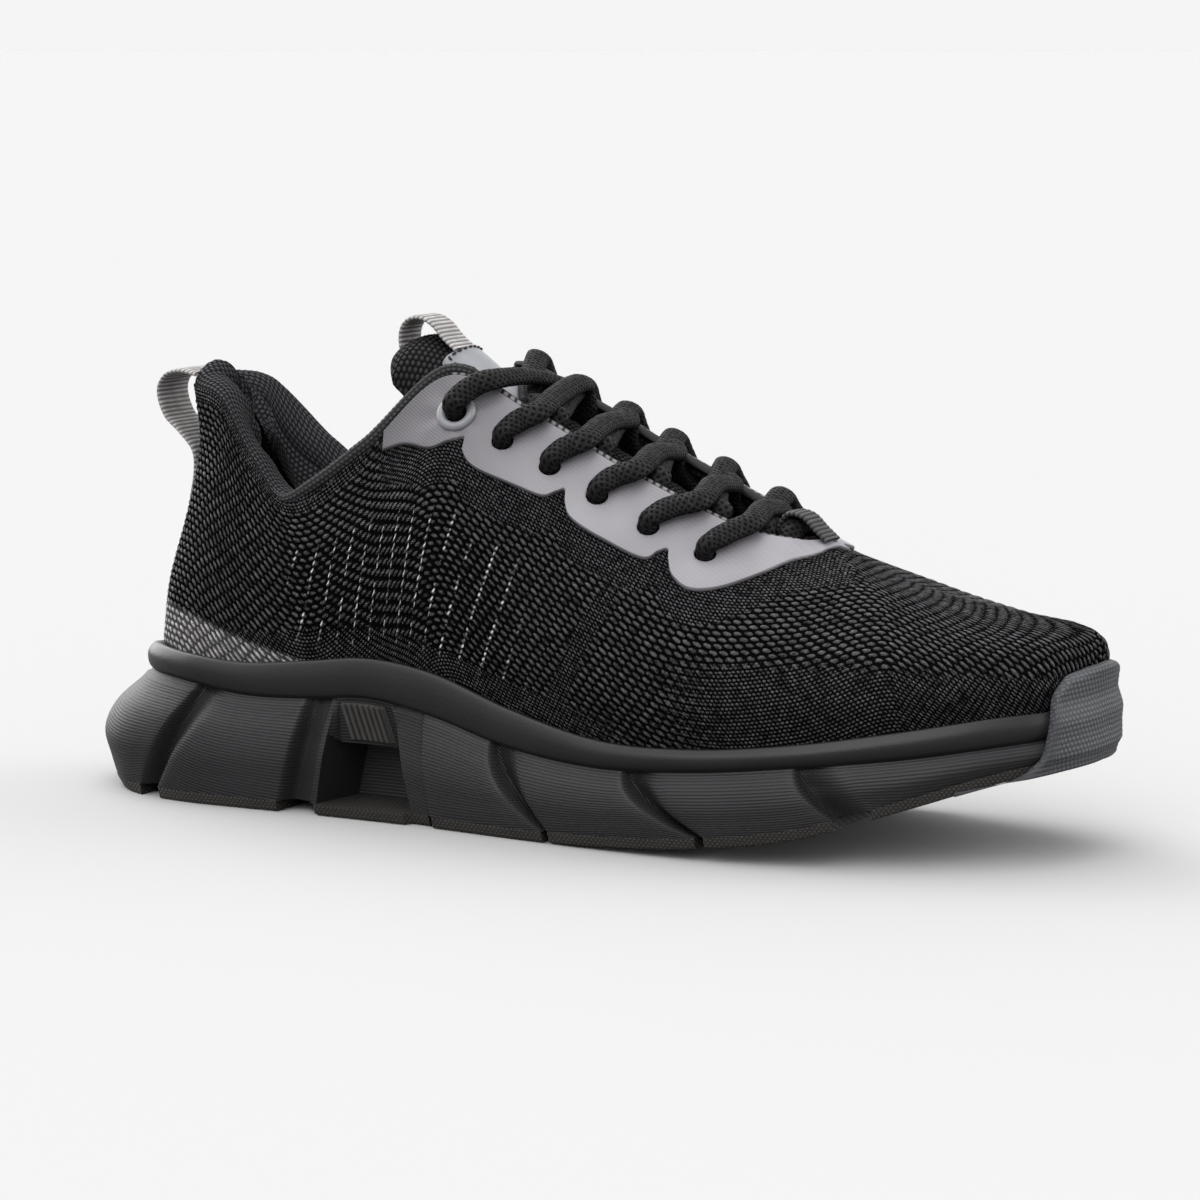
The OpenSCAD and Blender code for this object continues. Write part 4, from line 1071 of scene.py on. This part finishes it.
def punch(piece, mat):
    """Cuts the lace holes through a piece and gives their walls a material."""
    tree = KDTree(len(piece.data.vertices))
    for i, vertex in enumerate(piece.data.vertices):
        tree.insert(vertex.co, i)
    tree.balance()
    marks = [tuple(v.vector) for v in piece.data.attributes["cloth"].data]
    for side in (0, 1):
        for hu, ht in HOLES:
            u = flip(hu, side)
            n = normal(u, ht)
            ring = skin(u, ht) + circle(n, 40) * HOLE_D / 2
            cutter = loft("cutter", np.stack([ring - n * 4, ring + n * 4]))
            cutter.data.materials.append(mat)
            cut = piece.modifiers.new("hole", "BOOLEAN")
            cut.object, cut.operation = cutter, "DIFFERENCE"
            cut.solver, cut.material_mode = "EXACT", "TRANSFER"
            apply_modifiers(piece)
            bpy.data.objects.remove(cutter)
    cut_marks = piece.data.attributes["cloth"].data
    for vertex, mark in zip(piece.data.vertices, cut_marks):
        mark.vector = marks[tree.find(vertex.co)[1]]


def apply_modifiers(piece):
    made = piece.evaluated_get(bpy.context.evaluated_depsgraph_get())
    old, name = piece.data, piece.data.name
    mesh = bpy.data.meshes.new_from_object(made)
    piece.modifiers.clear()
    piece.data = mesh
    bpy.data.meshes.remove(old)
    mesh.name = name


def film_material():
    """Grey film with a fine line texture running along the shoe, painted lighter towards the front and
    darker at the rear tip and along its edges: painted highlight and painted shade.
    """
    m = Shader("eyestay_film", 0.42, 0.4)
    inner = m.attribute("cloth")[2]
    x, _, z = m.parts(m.place())
    slope = m.plus(z, m.times(x, 0.52))
    lines = m.lines(slope, 0.8)
    threads = m.lines(m.minus(x, m.times(z, 0.5)), 0.7, 0.6)
    cloudy = m.noise(26, 2)
    clouds = m.ramp(cloudy, 0.3, 0.7)
    # The film is painted much lighter towards the front than at its rear tip: painted highlight from the
    # front light at the front and painted shade at the rear.
    rear = m.blend(clouds, (0.016, 0.015, 0.017), (0.034, 0.032, 0.036))
    front = m.blend(clouds, (0.122, 0.115, 0.128), (0.178, 0.169, 0.187))
    base = m.blend(m.ramp(x, -62, 10), rear, front)
    base = m.blend(m.times(lines, 0.12), base, (0.24, 0.23, 0.25))
    # The film is painted darker within about half a millimetre of its edges: painted shade along the
    # edges.
    base = m.blend(m.ramp(inner, 0.22, 0.0), base, (0.05, 0.048, 0.052))
    m.colour(base)
    m.rough(m.plus(0.36, m.times(lines, 0.12)))
    m.bump(lines, 0.07, 0.5)
    m.bump(threads, 0.03, 0.4)
    return m.mat


def eyelet_rings():
    """Moulded rings at the top lace holes, raised as one turned profile."""
    m = Shader("moulded_ring", 0.3, Coat_Weight=0.3, Coat_Roughness=0.2)
    m.colour(m.blend(m.noise(5), (0.13, 0.135, 0.145), (0.2, 0.205, 0.215)))
    m.bump(m.noise(0.6), 0.03, 0.4)
    profile = [(3.0, -0.3), (3.05, 0.5), (3.3, 1.0), (3.9, 1.35), (4.6, 1.3), (5.2, 0.9),
               (5.5, 0.35), (5.5, -0.3)]
    for side, name in enumerate(("eyelet_ring_outer", "eyelet_ring_inner")):
        place = flip(TOP_HOLE[0], side), TOP_HOLE[1]
        n = normal(*place)
        fine = along(profile, np.linspace(0, len(profile) - 1, 36))
        spin = circle(n, 64)[:, None] * fine[None, :, :1]
        sections = skin(*place) + spin + n * (fine[None, :, 1:] + 1.15)
        piece = loft(name + "_moulded", sections, closed=True, smooth=60)
        finish_piece(piece, m.mat, [name])


def throat_tape():
    """Light laddered tape with a dark cord along each edge of the throat."""
    m = Shader("ladder_tape", 0.6)
    s, h, _ = m.attribute("cloth")[:3]
    rungs = m.lines(s, 2.3, 0.8)
    middle = m.times(m.ramp(h, 0.4, 0.9), m.ramp(h, 2.7, 2.2))
    light = m.times(m.ramp(rungs, 0.3, 0.6), middle)
    m.colour(m.blend(light, (0.006, 0.006, 0.007), (0.13, 0.125, 0.13)))
    m.bump(light, 0.2, 0.8)
    for side, name in enumerate(("throat_tape_outer", "throat_tape_inner")):
        u = flip(np.linspace(6.05, 10.3, 320), side)
        e, n = skin(u, 1 + 0 * u), normal(u, 0.97 + 0 * u)
        way = unit(e - skin(u, 0.96 + 0 * u))
        f = np.linspace(0, 1, 14)
        arc = f * 1.9
        reach = (-0.9 + 3.0 * np.sin(arc))[None, :, None]
        drop = (1.0 - 2.4 * (1 - np.cos(arc)))[None, :, None]
        top = e[:, None] + way[:, None] * reach + n[:, None] * drop
        under = top - n[:, None] * 0.5 - way[:, None] * 0.3
        s, h = spans(top)
        piece = sheet(name, top, under, np.stack([s, h, 0 * h], -1))
        finish_piece(piece, m.mat, [])


# ---- tongue ----
def tongue_at(a, b, down):
    """a from the base (0) to the top (1), b across (-1 to 1), down in shares of the thickness."""
    a, b, down = np.broadcast_arrays(*(np.asarray(v, float) for v in (a, b, down)))
    p = a * (len(TONGUE) - 1)
    here = along(TONGUE, p)
    d = unit(along(TONGUE[:, :3], p + 0.05) - along(TONGUE[:, :3], p - 0.05))
    up = unit(np.stack([d[..., 2], 0 * p, -d[..., 0]], -1))
    point = here[..., :3].copy()
    point[..., 1] += here[..., 3] * b
    return point - up * (here[..., 4] * b * b + down * here[..., 5])[..., None]


def tongue_crown(a, b):
    """How much the tongue's padded end swells, as a share of its thickness."""
    return 0.10 * np.sin(np.pi * step(0.62, 1.0, a)) * (1 - b ** 2)


def tongue_half(name, top, mat, nodes, pitch, depth):
    """One face of the tongue, from its middle plane out to a rounded edge."""
    a = 1 - (1 - np.linspace(0, 1, 170)) ** 1.15
    tip = np.sqrt(np.clip(1 - (np.clip((a - 0.89) / 0.11, 0, 1)) ** 2.3, 0.01, 1))
    b = np.sin(np.linspace(-math.pi / 2, math.pi / 2, 84))
    width = (1.04 * mix(0.45, 1, tip))[:, None]
    grid_a, grid_b = a[:, None] + 0 * b[None], width * b[None]
    edge = np.sqrt(np.clip(1 - np.abs(b) ** 5, 0, 1))[None] * tip[:, None]
    quilt = tongue_crown(grid_a, b[None])
    middle, sign = 0.5, -1 if top else 1
    face = tongue_at(grid_a, grid_b, middle + sign * (0.5 * edge + (quilt if top else 0)))
    back = tongue_at(grid_a, grid_b, middle + sign * 0.02 * edge)
    h, s = spans(face)
    s = s - s[:, 42:43]
    n = unit(np.cross(np.gradient(face, axis=0), np.gradient(face, axis=1)))
    n = n * np.where(n[..., 2:3] * (1 if top else -1) < 0, -1, 1)
    holes = brick_height(s, h, *pitch)
    face = face + n * (holes * depth * edge)[..., None]
    marks = np.stack([s, h, edge], -1)
    piece = sheet(name, face, back, marks, body=TONGUE_BODY)
    return finish_piece(piece, mat, nodes)


def tongue():
    coarse = lining_material("tongue_mesh", (0.005, 0.005, 0.0055), (0.034, 0.032, 0.034), TONGUE_MESH)
    fine = lining_material("tongue_lining_mesh", (0.007, 0.007, 0.008), (0.045, 0.045, 0.048))
    shell = tongue_half("tongue_cover", True, coarse, ["tongue_shell", "tongue_foam"],
                        TONGUE_MESH, 0.28)
    lining = tongue_half("tongue_underside", False, fine, ["tongue_lining"],
                         LINING_MESH, 0.2)
    tongue_label()


# The label: where it starts and ends along the tongue, and its half width
LABEL = (0.55, 0.79, 0.6)


def tongue_label():
    """Glossy film label with rounded corners and a running stitch along one side and across its upper
    end.
    """
    a0, a1, wide = LABEL
    f = np.linspace(0, 1, 70)
    g = np.linspace(-1, 1, 50)
    corner = 0.86
    round_a = np.clip((np.abs(2 * f - 1) - corner) / (1 - corner), 0, 1)
    width = wide * (1 - 0.16 * (1 - np.sqrt(1 - round_a ** 2)))
    a, b = mix(a0, a1, f)[:, None], width[:, None] * g[None]
    border = np.minimum(1 - np.abs(g)[None], (1 - np.abs(2 * f - 1))[:, None] * 1.6)
    puff = 0.06 * np.sin(np.pi * f)[:, None] * (1 - g[None] ** 2)
    crown = tongue_crown(a, b)
    face = tongue_at(a, b, -0.09 - 0.14 * rounding(border, 0.07) - puff - crown)
    back = tongue_at(a, b, -0.02 - 0.5 * crown)
    m = Shader("label_film", 0.24, Coat_Weight=0.35, Coat_Roughness=0.12)
    cloudy = m.noise(18, 2)
    m.colour(m.blend(cloudy, (0.11, 0.113, 0.122), (0.20, 0.205, 0.22)))
    m.rough(m.ramp(m.noise(1.2), -0.7, 2.4))
    m.bump(m.noise(0.7, 4), 0.03, 0.5)
    h, s = spans(face)
    marks = np.stack([s, h, border], -1)
    piece = sheet("tongue_label_film", face, back, marks, smooth=50, body=TONGUE_BODY)
    finish_piece(piece, m.mat, ["tongue_label"])
    label_stitching()


def label_stitching():
    a0, a1, _ = LABEL
    side_a = mix(a0 + 0.02, a1 - 0.012, np.linspace(0, 1, 60))
    line_a = np.concatenate([side_a, np.full(50, a1 - 0.012)])
    line_b = np.concatenate([np.full(60, -0.55), np.linspace(-0.55, 0.55, 50)])
    down = -0.27 - tongue_crown(line_a, line_b)
    route = smoothed(tongue_at(line_a, line_b, down), 2)
    stitches(route, 2.6, 0.7, "label_stitching", thread_material(), TONGUE_BODY)


def thread_material():
    m = Shader("thread", 0.6)
    m.colour(m.blend(m.noise(0.5), (0.004, 0.004, 0.004), (0.03, 0.03, 0.032)))
    m.bump(m.noise(0.3), 0.05, 0.6)
    return m.mat


def stitches(route, pitch, thick, name, mat, body):
    """A running stitch: short rounded threads along a route, in one piece."""
    length = run(route)
    count = int(length[-1] / pitch)
    points, quads, total = [], [], 0
    for i in range(count):
        at = np.linspace(i * pitch + 0.15 * pitch, i * pitch + 0.8 * pitch, 9)
        line = resample(route, length, at)
        fat = thick * np.sqrt(np.clip(1 - np.linspace(-1, 1, 9) ** 4, 0.03, 1))
        ring = tube_sections(line, np.tile([0.3, 1.0, 0.2], (9, 1)), fat, fat, 8)
        index = total + np.arange(72).reshape(9, 8)
        a, b = index[:-1], index[1:]
        quads.append(np.stack([a, np.roll(a, -1, 1), np.roll(b, -1, 1), b], -1).reshape(-1, 4))
        for end in (index[0], index[-1][::-1]):
            quads.append(np.array([[end[0], end[1], end[2], end[3]], [end[0], end[3], end[4], end[7]],
                                   [end[4], end[5], end[6], end[7]]]))
        points.append(ring.reshape(-1, 3))
        total += 72
    piece = build(name, np.concatenate(points), np.concatenate(quads), body=body)
    return finish_piece(piece, mat, [])


# ---- webbing ----
# Middle lines of the straps: x and height
HEEL_LOOP = [
    [29.2, 82], [30.6, 90], [30, 96], [25.6, 101], [20.8, 105.5], [18.6, 112], [20.6, 116.6],
    [25.4, 118.2], [31, 117.4]
]
TONGUE_LOOP = [
    [114.2, 127], [110.5, 130], [106.8, 133.8], [102.8, 135.5], [98.8, 134.6], [96.9, 131.4],
    [97, 127], [98, 122.5], [100.5, 119]
]
THROAT_BAR = [
    [224.5, 79.4], [221.2, 82.2], [217.4, 85.6], [213, 86.1], [210.4, 82.2], [213.2, 79], [218, 79]
]


def webbing_material(name, dark, light):
    m = Shader(name, 0.62)
    s, h, _ = m.attribute("cloth")[:3]
    ribs = m.lines(s, WEBBING_RIB, 0.9)
    yarn = m.lines(h, 0.55)
    worn = m.noise(3, 3)
    tone = m.times(ribs, m.ramp(worn, -0.3, 0.8))
    m.colour(m.blend(tone, dark, light))
    m.rough(m.minus(0.75, m.times(ribs, 0.2)))
    m.bump(m.times(yarn, ribs), 0.12, 0.7)
    return m.mat


def strap(name, path, width, middle_y, mat, node, body):
    """Ribbed webbing along a path in x and z."""
    line = along(path, np.linspace(0, len(path) - 1, 60 * (len(path) - 1)))
    route = np.stack([line[:, 0], np.full(len(line), middle_y), line[:, 1]], -1)
    length = run(route)
    even = np.linspace(0, length[-1], int(length[-1] / 0.17))
    route = resample(route, length, even)
    way = unit(np.gradient(route, axis=0))
    up = np.cross(way, [0.0, 1.0, 0.0])
    f = np.linspace(-1, 1, 30)
    rib = 0.5 + 0.5 * np.sin(2 * np.pi * even / WEBBING_RIB)
    edge = np.sqrt(np.clip(1 - np.abs(f) ** 6, 0, 1))
    half = (0.58 + 0.22 * rib)[:, None] * (0.25 + 0.75 * edge)[None]
    spread = np.array([0, 1.0, 0]) * (f[None, :, None] * width / 2)
    top = route[:, None] + spread + up[:, None] * half[..., None]
    low = route[:, None] + spread - up[:, None] * half[..., None]
    s, h = grid(even, f * width / 2)
    piece = sheet(name, top, low, np.stack([s, h, 0 * s], -1), body=body)
    return finish_piece(piece, mat, [node])


def loops():
    grey = webbing_material("webbing", (0.09, 0.086, 0.085), (0.40, 0.385, 0.38))
    dark = webbing_material("webbing_dark", (0.005, 0.005, 0.0055), (0.065, 0.063, 0.065))
    strap("heel_loop_webbing", HEEL_LOOP, 16, 0, grey, "heel_loop", SHOE)
    strap("tongue_loop_webbing", TONGUE_LOOP, 12, 0, grey, "tongue_loop", TONGUE_BODY)
    strap("throat_webbing", THROAT_BAR, 9, 2.5, dark, "throat_bar", SHOE)
    heel_strip(grey)


def heel_strip(mat):
    """Light ribbed strip up the back of the heel."""
    u, t = grid(np.linspace(-0.34, 0.34, 40), np.linspace(0.0, 0.93, 330))
    base, n = skin(u, t), normal(u, t)
    h, s = spans(base)
    edge = np.minimum(np.minimum(h, h[-1:] - h), np.minimum(s, s[:, -1:] - s))
    rib = 0.5 + 0.5 * np.sin(2 * np.pi * s / WEBBING_RIB)
    outer = base + n * (0.5 + rounding(edge, 0.9) * (0.62 + 0.2 * rib))[..., None]
    marks = np.stack([s, h, 0 * s], -1)
    piece = sheet("heel_strip_webbing", outer, base + n * 0.4, marks)
    finish_piece(piece, mat, ["heel_strip"])


# ---- lace ----
# For each side: how far before a hole a crossing starts, and where it meets the edge
RISE = (0.2, 0.45)
LEAN = (0.3, 0.0)
# The lace through the webbing bar at the front
BAR = [[214.5, -4.2, 78.8], [214.5, -1, 82.2], [214.4, 4, 83], [214.5, 8.6, 82.2],
       [214.5, 11.6, 79.2]]
# The tucked end: station, height and distance out
TAIL = [(6.12, 0.78, -6.5), (6, 0.6, -8), (5.8, 0.42, -8), (5.4, 0.28, -7.5), (4.9, 0.24, -8),
        (4.4, 0.24, -8.5)]
BAR_END = [(9.75, 0.965, -4.8), (9.45, 0.95, -5)]
BRAID_PITCH, BRAID_STRANDS = 1.7, 8


def dive(u):
    """Under the throat edge, then past it and rising, each with the shoe's outward normal."""
    e, n = skin(u, 1.0), normal(u, 0.97)
    way = unit(e - skin(u, 0.94))
    return [(layer(u, 0.97, -5), n), (e + way * 4.8 - n * 1.8, n)]


# How far each crossing stands up, from the front to the top
BULGE = (2.6, 2.2, 2.6, 3.4, 6.2, 3.0)


def crossing(i, s, k):
    """From the dive under one edge at station k, across the throat and into hole i of side s."""
    start = dive(flip(k, 1 - s))
    lift = (BULGE[i], 5 if i == 4 else 4.4) if s == 0 else ((-0.1, 0.3) if i == 5 else (1.0, 1.4))
    hole_u, hole_t = HOLES[i]
    u, ring = flip(hole_u, s), 1.6 if i == 5 else 0.0
    edge_u, way_u = flip(hole_u + LEAN[s], s), flip(hole_u + 0.4 * LEAN[s], s)
    far, near = skin(flip(k, 1 - s), 1.0), skin(edge_u, 1.0)
    n, up = normal(edge_u, 0.97), np.array([0, 0, 1.0])
    top = unit(normal(flip(k, 1 - s), 0.97) + normal(u, 0.97))
    return start + [
        (mix(far, near, 0.25) + up * lift[0], top), (mix(far, near, 0.64) + up * lift[1], top),
        (near + n * (3.6 + ring / 2), n), (layer(way_u, mix(hole_t, 1, 0.5), 3.7 + ring), n),
        (layer(u, hole_t + 0.01, 3.3 + ring), n), (layer(u, hole_t, 0.9 + ring), n),
        (layer(u, hole_t, -2.6), n), (layer(u, mix(hole_t, 1, 0.15), -4.8), n)]


def lace_half(first):
    points = []
    for i in range(6):
        s = (first + i) % 2
        k = HOLES[i][0] + (0.75 if i == 5 else RISE[s])
        points += crossing(i, s, k)
    return points


def laid(places, s):
    """Points below the skin on a side, with the shoe's outward normal at each."""
    return [(layer(flip(u, s), t, out), normal(flip(u, s), t)) for u, t, out in places]


def lace_line():
    """Middle line of the lace, even along its length, with its flat side's normal and ends."""
    up = unit(np.array([0.35, 0, 1.0]))
    bar = [(np.array(p, float), up) for p in BAR]
    route = (laid(TAIL, 1)[::-1] + lace_half(0)[::-1] + laid(BAR_END, 1)[::-1] + bar[::-1]
             + laid(BAR_END, 0) + lace_half(1) + laid(TAIL, 0))
    points = np.array([p for p, _ in route])
    normals = np.array([n for _, n in route])
    fine = along(points, np.linspace(0, len(points) - 1, (len(points) - 1) * 26 + 1))
    fine_n = smoothed(ease(normals, np.linspace(0, len(points) - 1, len(fine))), 30)
    length = run(fine)
    even = np.linspace(0, length[-1], int(length[-1] / 0.62))
    return points, even, resample(fine, length, even), resample(fine_n, length, even)


def lace():
    points, even, line, line_n = lace_line()
    hole_points = [layer(flip(h[0], s), h[1], 0.2) for h in HOLES for s in (0, 1)]
    near = np.min([np.linalg.norm(line - q, axis=1) for q in hole_points], 0)
    squeeze = step(1.5, 7, near)
    width, height = mix(4.7, 6.5, squeeze), mix(4.2, 3.9, squeeze)
    across = np.cross(unit(np.gradient(line, axis=0)), unit(line_n))
    across = smoothed(unit(across), 10)
    sides = 30
    rings = tube_sections(line, across, width, height, sides)
    s, r = grid(even, np.arange(sides) / sides)
    out = unit(rings - line[:, None])
    rings = rings + out * (0.22 * braid_height(s, r) + 0.05 * wavy(rings, 3.0))[..., None]
    piece = loft("lace_braided", rings, attributes={"cloth": np.stack([s, r, 0 * s], -1)})
    finish_piece(piece, lace_material(), ["lace"])
    aglets(points)


def lace_material():
    m = Shader("lace_braid", 0.6)
    s, r = m.attribute("cloth")[:2]
    place, turns = m.math("DIVIDE", s, BRAID_PITCH), m.times(r, float(BRAID_STRANDS))
    strands = [m.lines(v, 1.0) for v in (m.plus(place, turns), m.minus(place, turns))]
    braided = m.math("MAXIMUM", *strands)
    # The braid's strands are painted lighter than the dips between them: painted highlight on the
    # strands.
    gaps = m.times(braided, m.ramp(m.noise(1.6, 3), 0.0, 0.8))
    m.colour(m.blend(gaps, (0.003, 0.003, 0.0033), (0.0085, 0.0085, 0.0095)))
    m.rough(m.minus(0.75, m.times(gaps, 0.25)))
    m.shine(m.times(gaps, 0.2))
    m.bump(braided, 0.25, 0.8)
    m.bump(m.noise(0.35, 3), 0.06, 0.6)
    return m.mat


def braid_height(s, r):
    one, two = (0.5 + 0.5 * np.sin(2 * np.pi * (s / BRAID_PITCH + way * BRAID_STRANDS * r))
                for way in (1, -1))
    return np.maximum(one, two)


def aglets(points):
    """Tapered plastic tips at both ends of the lace."""
    m = Shader("aglet_plastic", 0.25, Coat_Weight=0.4)
    m.colour(m.blend(m.noise(4), (0.01, 0.01, 0.011), (0.03, 0.03, 0.032)))
    m.bump(m.noise(1), 0.03, 0.4)
    for name, start, before in (("aglet_inner", points[0], points[1]),
                                ("aglet_outer", points[-1], points[-2])):
        way = unit(start - before)
        f = np.linspace(0, 1, 40)
        line = start + way * (f * 22)[:, None]
        fat = 4.0 * np.interp(f, [0, 0.03, 0.08, 0.9, 0.97, 1], [0.9, 1, 0.92, 0.9, 0.75, 0.3])
        piece = loft(name, tube_sections(line, np.tile([0.3, 1.0, 0.2], (40, 1)), fat, fat, 24))
        finish_piece(piece, m.mat, ["aglets"])


# ---- inside ----
def insole():
    """Contoured footbed with a knit cover and a rounded rim."""
    k = np.concatenate([np.linspace(0.07, 0.6, 30), np.linspace(0.62, 13.4, 170),
                        np.linspace(13.42, 13.93, 30)])
    f = np.linspace(-1, 1, 72)
    floor = sole_at(k)[:, 0]
    a, b = sole_point(k, -3.4 + 0 * k, floor), sole_point(STATIONS - k, -3.4 + 0 * k, floor)
    face = mix(a[:, None], b[:, None], (0.5 + 0.5 * f)[None, :, None])
    width = np.linalg.norm(b - a, axis=-1)[:, None]
    side = (1 - np.abs(f))[None] * width / 2
    cup = 1.6 * step(9, 0, side) * step(15, 4, side)
    top, low = face.copy(), face.copy()
    top[..., 2] += 1.9 + (3.9 + cup) * rounding(side, 1.6)
    low[..., 2] += 1.85
    s, h = spans(top)
    top[..., 2] += 0.12 * brick_height(s, h, *LINING_MESH)
    marks = np.stack([s, h, 0 * s], -1)
    mat = lining_material("insole_cover", (0.012, 0.012, 0.014), (0.06, 0.06, 0.065))
    finish_piece(sheet("insole_cover", top, low, marks), mat, ["insole"])


# CAD nodes shown as they are: dark and light colour, roughness, size of the grain
HIDDEN = {
    "strobel_board": ((0.45, 0.42, 0.35), (0.62, 0.58, 0.5), 0.9, 1.2),
    "heel_counter": ((0.38, 0.35, 0.29), (0.5, 0.47, 0.4), 0.6, 3.0),
    "toe_puff": ((0.38, 0.35, 0.29), (0.5, 0.47, 0.4), 0.6, 3.0),
    "collar_foam": ((0.2, 0.2, 0.19), (0.34, 0.33, 0.31), 0.95, 0.8),
    "eyestay_backing": ((0.012, 0.012, 0.013), (0.04, 0.04, 0.043), 0.85, 0.7),
}


def hidden_parts():
    """The CAD nodes that stay as they are get their own materials."""
    for name, (dark, light, rough, size) in HIDDEN.items():
        m = Shader(name + "_stuff", rough)
        m.colour(m.blend(m.noise(size, 4), dark, light))
        m.bump(m.noise(size, 4), 0.15, 0.6)
        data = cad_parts[name].data
        data.materials.clear()
        data.materials.append(m.mat)


# ---- stage ----
AIM = np.array([157.0, 0.0, 48.5])
AZIMUTH, ELEVATION, DISTANCE, LENS = 27.0, 8.0, 1212.5, 132.6
SHIFT = (-0.0025, 0.0333)


def stage():
    """A wide pale floor. It bounces less light at the shoe than it shows the camera."""
    half = 40.0
    me = bpy.data.meshes.new("floor")
    corners = [(-half, -half, 0), (half, -half, 0), (half, half, 0), (-half, half, 0)]
    me.from_pydata(corners, [], [(0, 1, 2, 3)])
    floor = bpy.data.objects.new("floor", me)
    bpy.context.scene.collection.objects.link(floor)
    floor.location.z = -0.0002
    m = Shader("floor_paper", 1.0, 0.0)
    seen = m.node("ShaderNodeLightPath").outputs["Is Camera Ray"]
    paper = m.blend(m.noise(300), FLOOR_TONE, tuple(v * 1.003 for v in FLOOR_TONE))
    m.colour(m.blend(seen, (0.15, 0.15, 0.15), paper))
    floor.data.materials.append(m.mat)


FLOOR_TONE = (0.336, 0.336, 0.336)
BACKDROP = 0.914
# Softboxes far away: direction, outer and inner edge in degrees from it, brightness
SOFTBOXES = [
    ((-0.85, 0.35, 0.45), 34, 18, 4.0), ((0.85, 0.5, 0.3), 30, 14, 4.0), ((0.1, -0.75, 0.65), 38, 18, 3.2)
]
FILL = 1.0


def lights():
    world = bpy.data.worlds.new("studio")
    bpy.context.scene.world = world
    world.use_nodes = True
    tree = world.node_tree
    toward = tree.nodes.new("ShaderNodeTexCoord").outputs["Generated"]
    total = None
    for direction, outer, inner, power in SOFTBOXES:
        dot = tree.nodes.new("ShaderNodeVectorMath")
        dot.operation = "DOT_PRODUCT"
        tree.links.new(toward, dot.inputs[0])
        dot.inputs[1].default_value = unit(np.array(direction, float))
        glow = tree.nodes.new("ShaderNodeMapRange")
        glow.interpolation_type = "SMOOTHSTEP"
        tree.links.new(dot.outputs["Value"], glow.inputs["Value"])
        edges = (math.cos(math.radians(outer)), math.cos(math.radians(inner)), 0.0, power)
        for socket, value in zip(("From Min", "From Max", "To Min", "To Max"), edges):
            glow.inputs[socket].default_value = value
        add = tree.nodes.new("ShaderNodeMath")
        add.inputs[1].default_value = FILL
        if total:
            tree.links.new(total, add.inputs[1])
        tree.links.new(glow.outputs["Result"], add.inputs[0])
        total = add.outputs[0]
    seen = tree.nodes.new("ShaderNodeMix")
    tree.links.new(tree.nodes.new("ShaderNodeLightPath").outputs["Is Camera Ray"], seen.inputs[0])
    tree.links.new(total, seen.inputs[2])
    seen.inputs[3].default_value = BACKDROP
    tree.links.new(seen.outputs[0], tree.nodes["Background"].inputs["Strength"])
    tree.nodes["Background"].inputs["Color"].default_value = (1, 1, 1, 1)
    sun = bpy.data.lights.new("overhead", "SUN")
    sun.energy, sun.angle = OVERHEAD, math.radians(65)
    lamp = bpy.data.objects.new("overhead", sun)
    bpy.context.scene.collection.objects.link(lamp)
    lamp.rotation_euler = Vector(OVERHEAD_FROM).to_track_quat("Z", "Y").to_euler()
    bpy.context.scene.view_settings.view_transform = "Standard"


OVERHEAD, OVERHEAD_FROM = 2.2, (-0.25, 0.15, 1.0)


def camera():
    az, el = math.radians(AZIMUTH), math.radians(ELEVATION)
    back = np.array([math.sin(az) * math.cos(el), -math.cos(az) * math.cos(el), math.sin(el)])
    data = bpy.data.cameras.new("camera")
    data.lens, data.sensor_width = LENS, 36.0
    data.shift_x, data.shift_y = SHIFT
    data.clip_start, data.clip_end = 0.05, 30
    cam = bpy.data.objects.new("camera", data)
    bpy.context.scene.collection.objects.link(cam)
    cam.location = (AIM + back * DISTANCE - MIDDLE) * MM
    cam.rotation_euler = Vector(back).to_track_quat("Z", "Y").to_euler()
    bpy.context.scene.camera = cam


camera()
lights()
stage()
midsole()
pads()
toe_bumper()
arch_inserts()
knit_upper()
collar()
vamp_lining()
topline_binding()
eyestay()
eyelet_rings()
throat_tape()
tongue()
loops()
lace()
insole()
hidden_parts()
